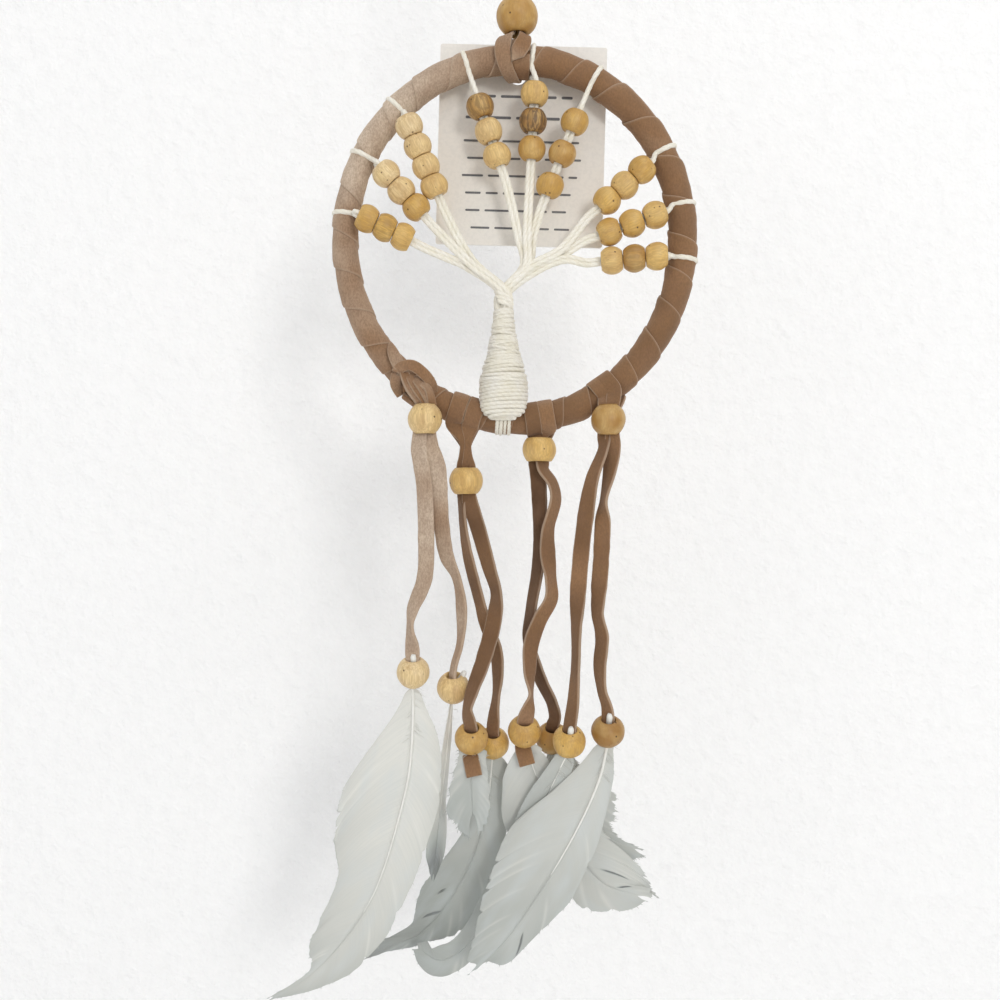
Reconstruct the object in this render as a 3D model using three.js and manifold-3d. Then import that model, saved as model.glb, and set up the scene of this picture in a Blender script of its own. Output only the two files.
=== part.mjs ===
// A beaded dream catcher: a suede-wrapped hoop that holds a tree of corded wooden beads,
// four folded suede laces with beads and feathers below it, and a hanging lace above it.
// Units are millimetres, +Z is up, and the front of the hoop faces -Y.
// Everything is laid out around the hoop's centre, then lowered so that the origin is
// the top of the hanging loop, where a nail or hook holds it.

import * as THREE from 'three';
import { mergeVertices } from 'three/addons/utils/BufferGeometryUtils.js';
import Module from 'manifold-3d';

const wasm = await Module();
wasm.setup();

// ---- driving dimensions -------------------------------------------------------------

const HANG_HEIGHT = 140; // hanging point above the hoop's centre

const HOOP_HALF_WIDTH = 49.6; // centreline of the hoop's tube, sideways
const HOOP_HALF_HEIGHT = 53; // centreline of the hoop's tube, upwards
const CORE_RADIUS = 2.9;
const WRAP_INNER_RADIUS = 3.6;
const WRAP_OUTER_RADIUS = 4.2;
const WRAP_GAP_DEGREES = 3; // where the wrapping strip starts and ends, under the hanger

const COLLAR_INNER_RADIUS = 4.6; // a cord's turn around the wrapped hoop
const COLLAR_OUTER_RADIUS = 5.3;
const COLLAR_WIDTH = 2.2;
const FOOT_COLLAR_WIDTH = 4.4;

const CORD_RADIUS = 1.15; // two thin cotton cords side by side
const TREE_BEAD_RADIUS = 4;
const TREE_BORE_RADIUS = 1.6;

const TRUNK_X = -3.1;
const TRUNK_Y = -2.5;
const TRUNK_BORE_RADIUS = 1.9;
const TRUNK_CORD_RADIUS = 1.5;

const LACE_RADIUS = 0.85; // a flat suede lace, gathered to a plain round cord
const LACE_SIDES = 8;
const LACE_STEP = 6.5; // longest straight piece of a lace

const HANGER_BEAD = { radius: 6.1, halfLength: 5.2, bore: 2.5, at: [0.9, -0.6, 65.4] };
const UPPER_BORE_RADIUS = 2.7;
const END_BEAD_RADIUS = 4.8;
const END_BEAD_HALF_LENGTH = 4.1;
const END_BORE_RADIUS = 2.2;
const END_BEAD_TILT = 12; // degrees that the end beads lean forward at the top

const CARD_WIDTH = 50;
const CARD_HEIGHT = 60;
const CARD_THICKNESS = 0.7;
const CARD_CENTRE = [2.3, 6.5, 29.8];
const CARD_TURN = 1.5; // degrees clockwise
const CARD_HOLE = [-1.6, 20.6]; // from the card's centre
const CARD_HOLE_RADIUS = 2.5;

const FEATHER_THICKNESS = 0.8;

// ---- colours ------------------------------------------------------------------------

const SUEDE = { color: 0x9c7c66, roughness: 0.95, metalness: 0 };
const WOOD = { color: 0xd9b27c, roughness: 0.45, metalness: 0 };
const COTTON = { color: 0xece6da, roughness: 0.9, metalness: 0 };
const RATTAN = { color: 0xb08d5f, roughness: 0.7, metalness: 0 };
const PAPER = { color: 0xe9ebf0, roughness: 0.5, metalness: 0 };
const FEATHER = { color: 0xdfe3e4, roughness: 0.8, metalness: 0 };

// ---- helpers ------------------------------------------------------------------------

const model = new THREE.Group();
const layout = new THREE.Group();
layout.position.z = -HANG_HEIGHT;
model.add(layout);

const vector = (point) => new THREE.Vector3(...point);
const radians = THREE.MathUtils.degToRad;

function addMesh(name, geometry, material, parent = layout) {
  const mesh = new THREE.Mesh(geometry, new THREE.MeshStandardMaterial(material));
  mesh.name = name;
  parent.add(mesh);
  return mesh;
}

function toSolid(geometry) {
  const plain = new THREE.BufferGeometry();
  plain.setAttribute('position', geometry.getAttribute('position').clone());
  if (geometry.index) plain.setIndex(geometry.index.clone());
  const merged = mergeVertices(plain, 1e-4);
  return new wasm.Manifold(new wasm.Mesh({
    numProp: 3,
    vertProperties: new Float32Array(merged.getAttribute('position').array),
    triVerts: new Uint32Array(merged.index.array),
  }));
}

function toGeometry(solid) {
  const mesh = solid.getMesh();
  const geometry = new THREE.BufferGeometry();
  geometry.setAttribute('position', new THREE.BufferAttribute(mesh.vertProperties, 3));
  geometry.setIndex(new THREE.BufferAttribute(mesh.triVerts, 1));
  return geometry;
}

function union(geometries) {
  return geometries.map(toSolid).reduce((all, solid) => all.add(solid));
}

// A regular polygon, as an outline or a hole.
function polygon(radius, sides) {
  const points = [];
  for (let i = 0; i < sides; i += 1) {
    const angle = ((i + 0.5) / sides) * 2 * Math.PI;
    points.push(new THREE.Vector2(radius * Math.cos(angle), radius * Math.sin(angle)));
  }
  return points;
}

// A smooth curve that is divided evenly between its points, however far apart they are.
class Route extends THREE.CatmullRomCurve3 {
  constructor(points) {
    super(points, false, 'centripetal');
  }

  getUtoTmapping(u) {
    return u;
  }
}

// A round bar through the points, with no straight piece longer than the step.
function sweep(points, radius, sides, step) {
  const route = new Route(points.map(vector));
  const spans = route.points.length - 1;
  const samples = [route.points[0]];
  for (let i = 0; i < spans; i += 1) {
    const parts = Math.ceil(route.points[i].distanceTo(route.points[i + 1]) / step);
    for (let k = 1; k <= parts; k += 1) samples.push(route.getPoint((i + k / parts) / spans));
  }
  return new THREE.ExtrudeGeometry(new THREE.Shape(polygon(radius, sides)), {
    steps: samples.length - 1,
    bevelEnabled: false,
    extrudePath: new Route(samples),
  });
}

// A point on the hoop's centreline. 0 degrees is the right-hand side and 90 is the top.
function hoopPoint(degrees) {
  const angle = radians(degrees);
  return new THREE.Vector3(
    HOOP_HALF_WIDTH * Math.cos(angle), 0, HOOP_HALF_HEIGHT * Math.sin(angle));
}

function hoopTangent(degrees) {
  const angle = radians(degrees);
  return new THREE.Vector3(
    -HOOP_HALF_WIDTH * Math.sin(angle), 0, HOOP_HALF_HEIGHT * Math.cos(angle)).normalize();
}

// A closed profile turned about Y: a ring with a hole through it.
function turned(profile, segments) {
  const points = profile.map(([x, y]) => new THREE.Vector2(x, y));
  points.push(points[0].clone());
  return new THREE.LatheGeometry(points, segments);
}

// A ball with flat ends and a hole through it along Y.
function beadGeometry(radius, halfLength, bore, segments, arcSteps) {
  const flatRadius = Math.sqrt(radius * radius - halfLength * halfLength);
  const edge = Math.atan2(halfLength, flatRadius);
  const profile = [[bore, -halfLength]];
  for (let i = 0; i <= arcSteps; i += 1) {
    const angle = -edge + (2 * edge * i) / arcSteps;
    profile.push([radius * Math.cos(angle), radius * Math.sin(angle)]);
  }
  profile.push([bore, halfLength]);
  return turned(profile, segments);
}

function placeAlong(mesh, centre, direction) {
  mesh.position.copy(centre);
  mesh.quaternion.setFromUnitVectors(new THREE.Vector3(0, 1, 0), direction);
  return mesh;
}

// The same placing, baked into a geometry that is about to be joined.
function placedGeometry(geometry, centre, direction) {
  const placed = placeAlong(new THREE.Mesh(geometry), centre, direction);
  placed.updateMatrix();
  return geometry.clone().applyMatrix4(placed.matrix);
}

// ---- hoop ---------------------------------------------------------------------------

class HoopCurve extends THREE.Curve {
  constructor(start, end) {
    super();
    this.start = start;
    this.end = end;
  }

  getPoint(t, target = new THREE.Vector3()) {
    return target.copy(hoopPoint(this.start + (this.end - this.start) * t));
  }
}

function addHoop() {
  const meanRadius = (HOOP_HALF_WIDTH + HOOP_HALF_HEIGHT) / 2;
  const core = new THREE.TorusGeometry(meanRadius, CORE_RADIUS, 6, 40);
  core.scale(HOOP_HALF_WIDTH / meanRadius, HOOP_HALF_HEIGHT / meanRadius, 1);
  core.rotateX(Math.PI / 2);
  addMesh('hoop_core', core, RATTAN);

  const section = new THREE.Shape(polygon(WRAP_OUTER_RADIUS, 8));
  section.holes.push(new THREE.Path(polygon(WRAP_INNER_RADIUS, 8)));
  const wrap = new THREE.ExtrudeGeometry(section, {
    steps: 48,
    bevelEnabled: false,
    extrudePath: new HoopCurve(90 + WRAP_GAP_DEGREES / 2, 450 - WRAP_GAP_DEGREES / 2),
  });
  addMesh('hoop_wrap', wrap, SUEDE);
}

// One turn of cord around the wrapped hoop.
function collar(degrees, width) {
  const ring = turned([
    [COLLAR_INNER_RADIUS, -width / 2],
    [COLLAR_OUTER_RADIUS, -width / 2],
    [COLLAR_OUTER_RADIUS, width / 2],
    [COLLAR_INNER_RADIUS, width / 2],
  ], 10);
  return placedGeometry(ring, hoopPoint(degrees), hoopTangent(degrees));
}

// ---- tree of beads ------------------------------------------------------------------

// Each row of beads sits on one doubled cord: from its turn around the hoop, straight
// through the beads, and on by way of the branches to the top of the trunk.
const LEFT_FORK = [-13.2, -3, -7.4];
const RIGHT_FORK = [4.2, -3, -9.4];
const TRUNK_TOP = [TRUNK_X, TRUNK_Y, -17.5];
const ROWS = [
  { name: 'left_high', hoop: 133.7, count: 4, length: 5.85,
    outer: [-30.3, -6.3, 31.2], inner: [-23.2, -3.8, 14.6], via: [LEFT_FORK] },
  { name: 'left_mid', hoop: 152.9, count: 3, length: 6.1,
    outer: [-37, -5.2, 17.8], inner: [-28.4, -3.8, 8.5], via: [LEFT_FORK] },
  { name: 'left_low', hoop: 172.2, count: 3, length: 5.6,
    outer: [-42.4, -6.4, 4.5], inner: [-32.3, -4.4, -0.2], via: [[-18, -3.2, -5.6], LEFT_FORK] },
  { name: 'top_left', hoop: 106.4, count: 3, length: 6.8,
    outer: [-9.9, -4.7, 37.4], inner: [-5, -3.5, 23.6], via: [[2.6, -3, 0], RIGHT_FORK] },
  { name: 'top_mid', hoop: 83.8, count: 3, length: 6.8,
    outer: [5.9, -4.7, 41.1], inner: [5.1, -3.5, 25.6], via: [[4.4, -3, 0], RIGHT_FORK] },
  { name: 'top_right', hoop: 61.6, count: 3, length: 6.6,
    outer: [17.5, -4.7, 33], inner: [10.4, -3.2, 15], via: [[5.6, -3, 0], RIGHT_FORK] },
  { name: 'right_high', hoop: 28.7, count: 3, length: 6.2,
    outer: [37, -4.8, 19.1], inner: [27, -3.6, 10.5], via: [[13.9, -3, -3.6], RIGHT_FORK] },
  { name: 'right_mid', hoop: 10.7, count: 3, length: 6.3,
    outer: [40.8, -4.9, 6], inner: [27.6, -3.6, 1.4], via: [[13.9, -3, -3.6], RIGHT_FORK] },
  { name: 'right_low', hoop: -6.5, count: 3, length: 6.2,
    outer: [41.2, -5.5, -6.1], inner: [28.4, -3.7, -6.9], via: [[13.9, -3, -4.6], RIGHT_FORK] },
];
const STRAIGHT_BEFORE = 3.8; // how far a row's cord stays straight past its end beads
const STRAIGHT_AFTER = 7.5;

function rowDirection(row) {
  return vector(row.inner).sub(vector(row.outer)).normalize();
}

function addRowBeads(row) {
  const geometry = beadGeometry(TREE_BEAD_RADIUS, row.length / 2, TREE_BORE_RADIUS, 8, 4);
  for (let i = 0; i < row.count; i += 1) {
    const centre = vector(row.outer).lerp(vector(row.inner), i / (row.count - 1));
    const mesh = addMesh(`tree_bead_${row.name}_${i + 1}`, geometry, WOOD);
    placeAlong(mesh, centre, rowDirection(row));
  }
}

function branchGeometry(row) {
  const direction = rowDirection(row);
  const outer = vector(row.outer);
  const inner = vector(row.inner);
  const onHoop = hoopPoint(row.hoop);
  onHoop.y = -(COLLAR_INNER_RADIUS + COLLAR_OUTER_RADIUS) / 2 - 0.3;
  const points = [
    onHoop,
    outer.clone().addScaledVector(direction, -STRAIGHT_BEFORE),
    outer,
    outer.clone().lerp(inner, 0.5),
    inner,
    inner.clone().addScaledVector(direction, STRAIGHT_AFTER / 2),
    inner.clone().addScaledVector(direction, STRAIGHT_AFTER),
    ...row.via.map(vector),
    vector(TRUNK_TOP),
  ];
  return sweep(points.map((point) => point.toArray()), CORD_RADIUS, 6, 12);
}

function addTree() {
  ROWS.forEach(addRowBeads);
  const footDegrees = 270 - THREE.MathUtils.radToDeg(Math.asin(-TRUNK_X / HOOP_HALF_WIDTH));
  const pieces = [
    ...ROWS.map(branchGeometry),
    ...ROWS.map((row) => collar(row.hoop, COLLAR_WIDTH)),
    sweep([
      [TRUNK_X, TRUNK_Y, -16.4],
      [TRUNK_X, TRUNK_Y, -48.5],
    ], TRUNK_CORD_RADIUS, 8, 40),
    collar(footDegrees, FOOT_COLLAR_WIDTH),
  ];
  addMesh('tree_cords', toGeometry(union(pieces)), COTTON);
}

// The trunk's winding, a bottle shape with the cords running down inside it. Its foot is
// hollowed to sit over the hoop.
function addTrunk() {
  const outline = [[2.7, -20.4], [2.8, -26], [4.4, -33.5], [6.6, -41.5], [6.9, -46], [6, -50.3]];
  const bottle = turned([
    [TRUNK_BORE_RADIUS, -50.3],
    ...outline.reverse(),
    [TRUNK_BORE_RADIUS, -20.4],
  ], 12);
  bottle.rotateX(Math.PI / 2);
  bottle.translate(TRUNK_X, TRUNK_Y, 0);
  const clearance = sweep([
    [-20, 0, -HOOP_HALF_HEIGHT * 0.98],
    [-3, 0, -HOOP_HALF_HEIGHT],
    [14, 0, -HOOP_HALF_HEIGHT * 0.98],
  ], COLLAR_OUTER_RADIUS + 0.5, 12, 6);
  addMesh('trunk_winding', toGeometry(toSolid(bottle).subtract(toSolid(clearance))), COTTON);
}

// ---- card ---------------------------------------------------------------------------

function addCard() {
  const shape = new THREE.Shape([
    new THREE.Vector2(-CARD_WIDTH / 2, -CARD_HEIGHT / 2),
    new THREE.Vector2(CARD_WIDTH / 2, -CARD_HEIGHT / 2),
    new THREE.Vector2(CARD_WIDTH / 2, CARD_HEIGHT / 2),
    new THREE.Vector2(-CARD_WIDTH / 2, CARD_HEIGHT / 2),
  ]);
  const hole = new THREE.Path();
  hole.absarc(CARD_HOLE[0], CARD_HOLE[1], CARD_HOLE_RADIUS, 0, 2 * Math.PI, true);
  shape.holes.push(hole);
  const geometry = new THREE.ExtrudeGeometry(shape, {
    depth: CARD_THICKNESS, bevelEnabled: false, curveSegments: 6,
  });
  geometry.translate(0, 0, -CARD_THICKNESS / 2);
  geometry.rotateX(Math.PI / 2);
  const card = addMesh('card', geometry, PAPER);
  card.position.set(...CARD_CENTRE);
  card.rotation.y = radians(CARD_TURN);
}

// ---- hanging lace and its bead ------------------------------------------------------

// From its cut tip on the front of the hoop, up through the bead, around the hanging
// loop, down through the bead, over the front of the hoop, back under it, through the
// card's hole, and up over the card's top edge to its other end.
const HANGER_ROUTE = [
  [-0.8, -5.6, 50.2],
  [2.2, -5.7, 54.6],
  [2.4, -4.2, 58],
  [1.9, -0.6, 59.8],
  [1.9, -0.6, 65.4],
  [1.9, -0.6, 71],
  [3.2, -0.4, 80],
  [6, 0, 98],
  [7.2, 0, 118],
  [6.6, 0, 131],
  [3.8, 0, 137.6],
  [0, 0, 139.1],
  [-3.8, 0, 137.6],
  [-6.6, 0, 131],
  [-7.2, 0, 118],
  [-5, 0, 98],
  [-1.6, -0.4, 80],
  [-0.1, -0.6, 71],
  [-0.1, -0.6, 65.4],
  [-0.1, -0.6, 59.8],
  [-3, -4.4, 57.6],
  [-3.4, -5.5, 53.4],
  [-2, -4.2, 49.2],
  [-0.3, 0, 47.5],
  [0.4, 3.6, 48.4],
  [0.7, 6.6, 50.4],
  [0.9, 8.3, 53.4],
  [0.9, 8.3, 58.6],
  [0.9, 7, 61.4],
];

function addHanger() {
  addMesh('hanger_lace', sweep(HANGER_ROUTE, LACE_RADIUS, LACE_SIDES, LACE_STEP), SUEDE);
  const { radius, halfLength, bore, at } = HANGER_BEAD;
  const mesh = addMesh('hanger_bead', beadGeometry(radius, halfLength, bore, 10, 4), WOOD);
  placeAlong(mesh, vector(at), new THREE.Vector3(0, 0, 1));
}

// ---- pendants -----------------------------------------------------------------------

// Each pendant is one lace folded in half: up one tail, through the upper bead, around
// the hoop, back through the bead and down the other tail. A tail's points run down
// from under the upper bead to just inside its end bead.
const PENDANTS = [
  { number: 1, hoop: 238.2, bead: [-25.7, -6.7, -53.2], halfLength: 4.3, neck: [], turn: [80, 430],
    tails: {
      a: { bead: [-29.5, -2, -126.8], route: [
        [-27.4, -6.5, -62], [-26.1, -5.8, -71.5], [-25.5, -5.1, -86], [-26.1, -4.5, -99.5],
        [-29.6, -3.9, -108.4], [-30.3, -3.3, -113], [-29.8, -2.6, -119]] },
      b: { bead: [-18, 2.4, -132.1], route: [
        [-24, -6.3, -61], [-22.2, -5, -67], [-21.2, -4, -83], [-19.6, -3, -93],
        [-16.8, -2, -99.5], [-15.4, -1, -108.7], [-15.9, 0, -118.5], [-17.6, 1.4, -125]] },
    } },
  { number: 2, hoop: 253.5, bead: [-14.1, 0, -70.9], halfLength: 3.9, neck: [-58, -62], turn: [40, 320],
    tails: {
      a: { bead: [-6.2, 3.7, -148.8], route: [
        [-15.4, 0.9, -77.5], [-15, 1.2, -84], [-13, 1.5, -95.5], [-9.6, 1.8, -108.5],
        [-8, 2.1, -114], [-5.4, 2.5, -120.5], [-4.8, 2.8, -128], [-5.2, 3.1, -134.5],
        [-6, 3.5, -141]] },
      b: { bead: [-12.4, -3.5, -145.7], route: [
        [-12.9, -0.9, -77], [-10.2, -1.2, -86], [-7.2, -1.6, -96.5], [-5, -2.2, -104.8],
        [-6, -2.6, -112.2], [-9.1, -2.8, -123.5], [-12.2, -3, -132], [-13.6, -3.2, -138]] },
    } },
  { number: 3, hoop: 278.6, bead: [7.4, 0, -61.7], halfLength: 3.5, neck: [], turn: [25, 335],
    tails: {
      a: { bead: [11.4, 4.5, -147.5], route: [
        [6.9, 0.9, -67.5], [7.6, 1.3, -79], [7.6, 1.7, -88], [6.8, 2.1, -98.5],
        [5.1, 2.5, -109], [4.4, 2.9, -118], [8, 3.3, -130], [11.4, 3.9, -137], [12.2, 4.3, -141]] },
      b: { bead: [3, -1.5, -144.2], route: [
        [8.4, -0.9, -67.5], [11.3, -1, -71.5], [12.2, -1.1, -76], [10, -1.2, -85],
        [9.9, -1.2, -92], [10.7, -1.2, -99.5], [10.8, -1.2, -105.5], [7.6, -1.2, -111.5],
        [5, -1.3, -119], [4.6, -1.4, -127], [4.4, -1.4, -133], [3.4, -1.5, -138]] },
    } },
  { number: 4, hoop: 303, bead: [27.1, -6.2, -53.4], halfLength: 4.4, neck: [], turn: [80, 430],
    tails: {
      a: { bead: [15.9, -4.5, -146.4], route: [
        [25.7, -6.1, -61.5], [22.4, -5.6, -71], [20, -5.2, -86], [18.6, -5, -101],
        [18, -4.9, -112], [17.8, -4.8, -123], [17.2, -4.7, -134]] },
      b: { bead: [27.3, -3, -143.8], route: [
        [28.4, -6, -61.5], [27.4, -5.2, -69], [25.9, -4.7, -77], [25.6, -4.4, -89],
        [24.7, -4.2, -100.5], [24.1, -4, -108.5], [25.5, -3.8, -116], [24.9, -3.6, -125],
        [25.6, -3.4, -132], [27.4, -3.1, -137.4]] },
    } },
];
const LACE_LOOP_RADIUS = WRAP_OUTER_RADIUS + LACE_RADIUS + 0.45;
const LACE_SPACING = 1; // each pass of the lace beside the bead's axis
const LOOP_STEP_DEGREES = 32;

// The lace's way around the hoop: angles about the tube, 0 outwards and 90 to the front.
function laceLoop(pendant) {
  const [first, last] = pendant.turn;
  const steps = Math.round((last - first) / LOOP_STEP_DEGREES);
  const centre = hoopPoint(pendant.hoop);
  const along = hoopTangent(pendant.hoop);
  const outward = new THREE.Vector3(along.z, 0, -along.x);
  const points = [];
  for (let i = 0; i <= steps; i += 1) {
    const angle = radians(first + ((last - first) * i) / steps);
    points.push(centre.clone()
      .addScaledVector(outward, LACE_LOOP_RADIUS * Math.cos(angle))
      .addScaledVector(along, (2 * i / steps - 1) * LACE_SPACING)
      .add(new THREE.Vector3(0, -LACE_LOOP_RADIUS * Math.sin(angle), 0))
      .toArray());
  }
  return points;
}

function laceRoute(pendant) {
  const [x, y, z] = pendant.bead;
  const through = (side) => [
    [x + side * LACE_SPACING, y, z - pendant.halfLength - 0.5],
    [x + side * LACE_SPACING, y, z],
    [x + side * LACE_SPACING, y, z + pendant.halfLength + 0.5],
    ...[...pendant.neck].reverse().map((height) => [x + side * LACE_SPACING, y, height]),
  ];
  const into = (tail) => {
    const [beadX, beadY, beadZ] = tail.bead;
    return [[beadX, beadY - 0.9, beadZ + 4.4], [beadX, beadY, beadZ + 0.8]];
  };
  return [
    ...into(pendant.tails.a).reverse(),
    ...[...pendant.tails.a.route].reverse(),
    ...through(-1),
    ...laceLoop(pendant),
    ...through(1).reverse(),
    ...pendant.tails.b.route,
    ...into(pendant.tails.b),
  ];
}

function addPendant(pendant) {
  const lace = sweep(laceRoute(pendant), LACE_RADIUS, LACE_SIDES, LACE_STEP);
  addMesh(`lace_${pendant.number}`, lace, SUEDE);
  const upper = beadGeometry(5, pendant.halfLength, UPPER_BORE_RADIUS, 10, 4);
  const upperBead = addMesh(`upper_bead_${pendant.number}`, upper, WOOD);
  placeAlong(upperBead, vector(pendant.bead), new THREE.Vector3(0, 0, 1));
  const geometry = beadGeometry(END_BEAD_RADIUS, END_BEAD_HALF_LENGTH, END_BORE_RADIUS, 10, 4);
  const axis = new THREE.Vector3(
    0, -Math.sin(radians(END_BEAD_TILT)), Math.cos(radians(END_BEAD_TILT)));
  Object.entries(pendant.tails).forEach(([letter, tail]) => {
    const endBead = addMesh(`end_bead_${pendant.number}${letter}`, geometry, WOOD);
    placeAlong(endBead, vector(tail.bead), axis);
  });
}

// ---- feathers -----------------------------------------------------------------------

// Each feather is a thin blade. Its outline starts at the quill inside the end bead, goes
// down the left side to the tip and comes back up the right. It leans by tilt degrees
// (to the back where positive) and by slant degrees (to the left), and turn faces it
// sideways about its quill.
const FEATHERS = [
  { name: '1a', tilt: -2.4, turn: 0, outline: [
    [-30.2, -128], [-30.4, -135], [-35.5, -142], [-46.5, -152], [-51.5, -164], [-52.9, -176],
    [-50.9, -187], [-56, -197], [-59.6, -206], [-58.4, -212.6], [-72, -221], [-57, -218],
    [-46.5, -213.5], [-36.9, -203], [-28.8, -186.5], [-21.8, -166.5], [-21, -152],
    [-22.5, -143], [-28.4, -134], [-28.8, -128]] },
  { name: '1b', tilt: 0, turn: 70, slant: 6, outline: [
    [-18.7, -133], [-18.8, -138], [-21, -146], [-22, -158], [-22.2, -172], [-21, -183],
    [-18, -188], [-15, -183], [-13.8, -172], [-14, -158], [-15, -146], [-17.2, -138],
    [-17.3, -133]] },
  { name: '2a', tilt: 8, turn: 0, outline: [
    [-6.9, -150], [-7.2, -156], [-10.5, -164], [-14.5, -177], [-26.7, -194], [-30.7, -208],
    [-40, -211.5], [-47, -218.6], [-30, -215], [-20, -210.5], [-11.7, -202], [-5, -184],
    [-3.6, -168], [-5.2, -157], [-5.5, -150]] },
  { name: '2b', tilt: -4, turn: 0, outline: [
    [-13.1, -147], [-13.4, -151.5], [-16, -158], [-18.3, -165], [-15, -169], [-11.4, -172],
    [-8.6, -167], [-9, -158], [-11.4, -151.5], [-11.7, -147]] },
  { name: '3a', tilt: 6, turn: 0, outline: [
    [10.7, -149], [10.8, -154], [15, -166], [23, -182], [32, -188], [40.6, -183], [39, -175],
    [33, -172], [31.8, -164], [26, -158], [13.4, -155], [12.1, -149]] },
  { name: '3b', tilt: 8, turn: 0, outline: [
    [2.3, -146], [2.6, -152], [8, -170], [15, -190], [20, -198.5], [34.5, -199.5],
    [41, -195.5], [35, -186], [27, -177], [16, -164], [5, -152.5], [3.7, -146]] },
  { name: '4a', tilt: 8, turn: 0, outline: [
    [15.2, -148], [14.8, -152.6], [5, -159], [-5, -172], [-14, -190], [-21, -203],
    [-29.6, -210.5], [-28, -215], [-17, -217], [-8, -206], [2, -192], [10, -176],
    [16, -160], [16.6, -153.5], [16.6, -148]] },
  { name: '4b', tilt: -6, turn: 0, outline: [
    [26.6, -145], [25.8, -149.6], [18.5, -153.5], [10.9, -161.3], [-1.8, -172.2],
    [-8.2, -188], [-11.3, -200], [-15.4, -214.5], [-9, -207.5], [-2.7, -210], [3.7, -204],
    [16.4, -192], [24.1, -176.3], [28.4, -160], [29, -151.5], [28, -145]] },
];

function addFeather(feather) {
  const tail = PENDANTS[Number(feather.name[0]) - 1].tails[feather.name[1]];
  const [x, y, z] = tail.bead;
  const points = feather.outline.map(([px, pz]) => new THREE.Vector2(px - x, pz - z));
  const geometry = new THREE.ExtrudeGeometry(new THREE.Shape(points), {
    depth: FEATHER_THICKNESS, bevelEnabled: false,
  });
  geometry.translate(0, 0, -FEATHER_THICKNESS / 2);
  geometry.rotateX(Math.PI / 2);
  const lean = new THREE.Group();
  lean.position.set(x, y, z);
  lean.rotation.set(radians(feather.tilt), radians(feather.slant ?? 0), 0);
  layout.add(lean);
  const mesh = addMesh(`feather_${feather.name}`, geometry, FEATHER, lean);
  mesh.rotation.z = radians(feather.turn);
}

// ---- assembly -----------------------------------------------------------------------

addHoop();
addTree();
addTrunk();
addCard();
addHanger();
PENDANTS.forEach(addPendant);
FEATHERS.forEach(addFeather);

export default model;
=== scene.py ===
"""A beaded dream catcher: suede-wrapped hoop, corded tree of wooden beads, laces and feathers.

Lengths in this script are millimetres about the hoop's centre, with +Z up and the front
facing -Y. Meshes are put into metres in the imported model's frame as they are made.
"""

import math

import bpy
import numpy as np
from mathutils import Matrix, Vector, noise
from mathutils.bvhtree import BVHTree
from mathutils.geometry import tessellate_polygon


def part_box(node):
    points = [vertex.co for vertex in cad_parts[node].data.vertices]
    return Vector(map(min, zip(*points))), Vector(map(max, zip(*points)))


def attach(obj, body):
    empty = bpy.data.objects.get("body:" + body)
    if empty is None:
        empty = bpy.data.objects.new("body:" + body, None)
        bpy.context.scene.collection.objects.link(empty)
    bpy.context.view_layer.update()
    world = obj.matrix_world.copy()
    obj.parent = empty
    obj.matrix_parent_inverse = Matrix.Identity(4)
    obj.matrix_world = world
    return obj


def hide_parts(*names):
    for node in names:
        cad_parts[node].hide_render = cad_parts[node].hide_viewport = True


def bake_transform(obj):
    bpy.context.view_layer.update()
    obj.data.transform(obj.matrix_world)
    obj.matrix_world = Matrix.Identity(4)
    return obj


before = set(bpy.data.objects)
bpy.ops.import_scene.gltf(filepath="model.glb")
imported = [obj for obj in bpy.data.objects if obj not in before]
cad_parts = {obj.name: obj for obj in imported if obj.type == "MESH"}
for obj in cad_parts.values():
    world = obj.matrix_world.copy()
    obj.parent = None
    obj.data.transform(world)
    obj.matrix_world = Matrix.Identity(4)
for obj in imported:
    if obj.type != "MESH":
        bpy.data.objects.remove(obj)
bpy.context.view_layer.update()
scene = bpy.context.scene

# ---- sizes used throughout -----------------------------------------------------------

MM = 0.001
HANG_HEIGHT = 140.0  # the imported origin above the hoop's centre
HOOP_HALF_WIDTH = 49.6
HOOP_HALF_HEIGHT = 53.0
LACE_WIDTH = 4.7
LACE_THICKNESS = 1.0
LACE_STEP = 0.6  # between a lace's sections
TURN_THICKNESS = 0.9  # a lace pulled tight around something
STRAND_RADIUS = 0.76
END_TILTS = {  # degrees that each end bead leans back at its foot
    "1a": 14, "1b": 20, "2a": 34, "2b": 34, "3a": 32, "3b": 32, "4a": 25, "4b": 24}

FRONT = np.array([0.0, -1.0, 0.0])
RIGHT = np.array([1.0, 0.0, 0.0])
UP = np.array([0.0, 0.0, 1.0])


def to_frame(points):
    """Millimetres about the hoop's centre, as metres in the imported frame."""
    moved = np.array(points, float).reshape(-1, 3)
    moved[:, 2] -= HANG_HEIGHT
    return moved * MM


def frame_point(*place):
    return to_frame(place)[0]


def node_centre(node):
    """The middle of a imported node's box, in millimetres about the hoop's centre."""
    low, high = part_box(node)
    centre = (np.array(low, float) + np.array(high, float)) / 2 / MM
    centre[2] += HANG_HEIGHT
    return centre


def unit(vectors):
    vectors = np.asarray(vectors, float)
    return vectors / np.maximum(np.linalg.norm(vectors, axis=-1, keepdims=True), 1e-12)


def wobble(x, y=0.0, z=0.0):
    """Smooth noise from about -1 to 1, at one place or at each place in arrays."""
    x, y, z = np.broadcast_arrays(x, y, z)
    values = [noise.noise(Vector(place)) for place in zip(x.ravel(), y.ravel(), z.ravel())]
    return np.array(values).reshape(x.shape)


# ---- meshes --------------------------------------------------------------------------


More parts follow.
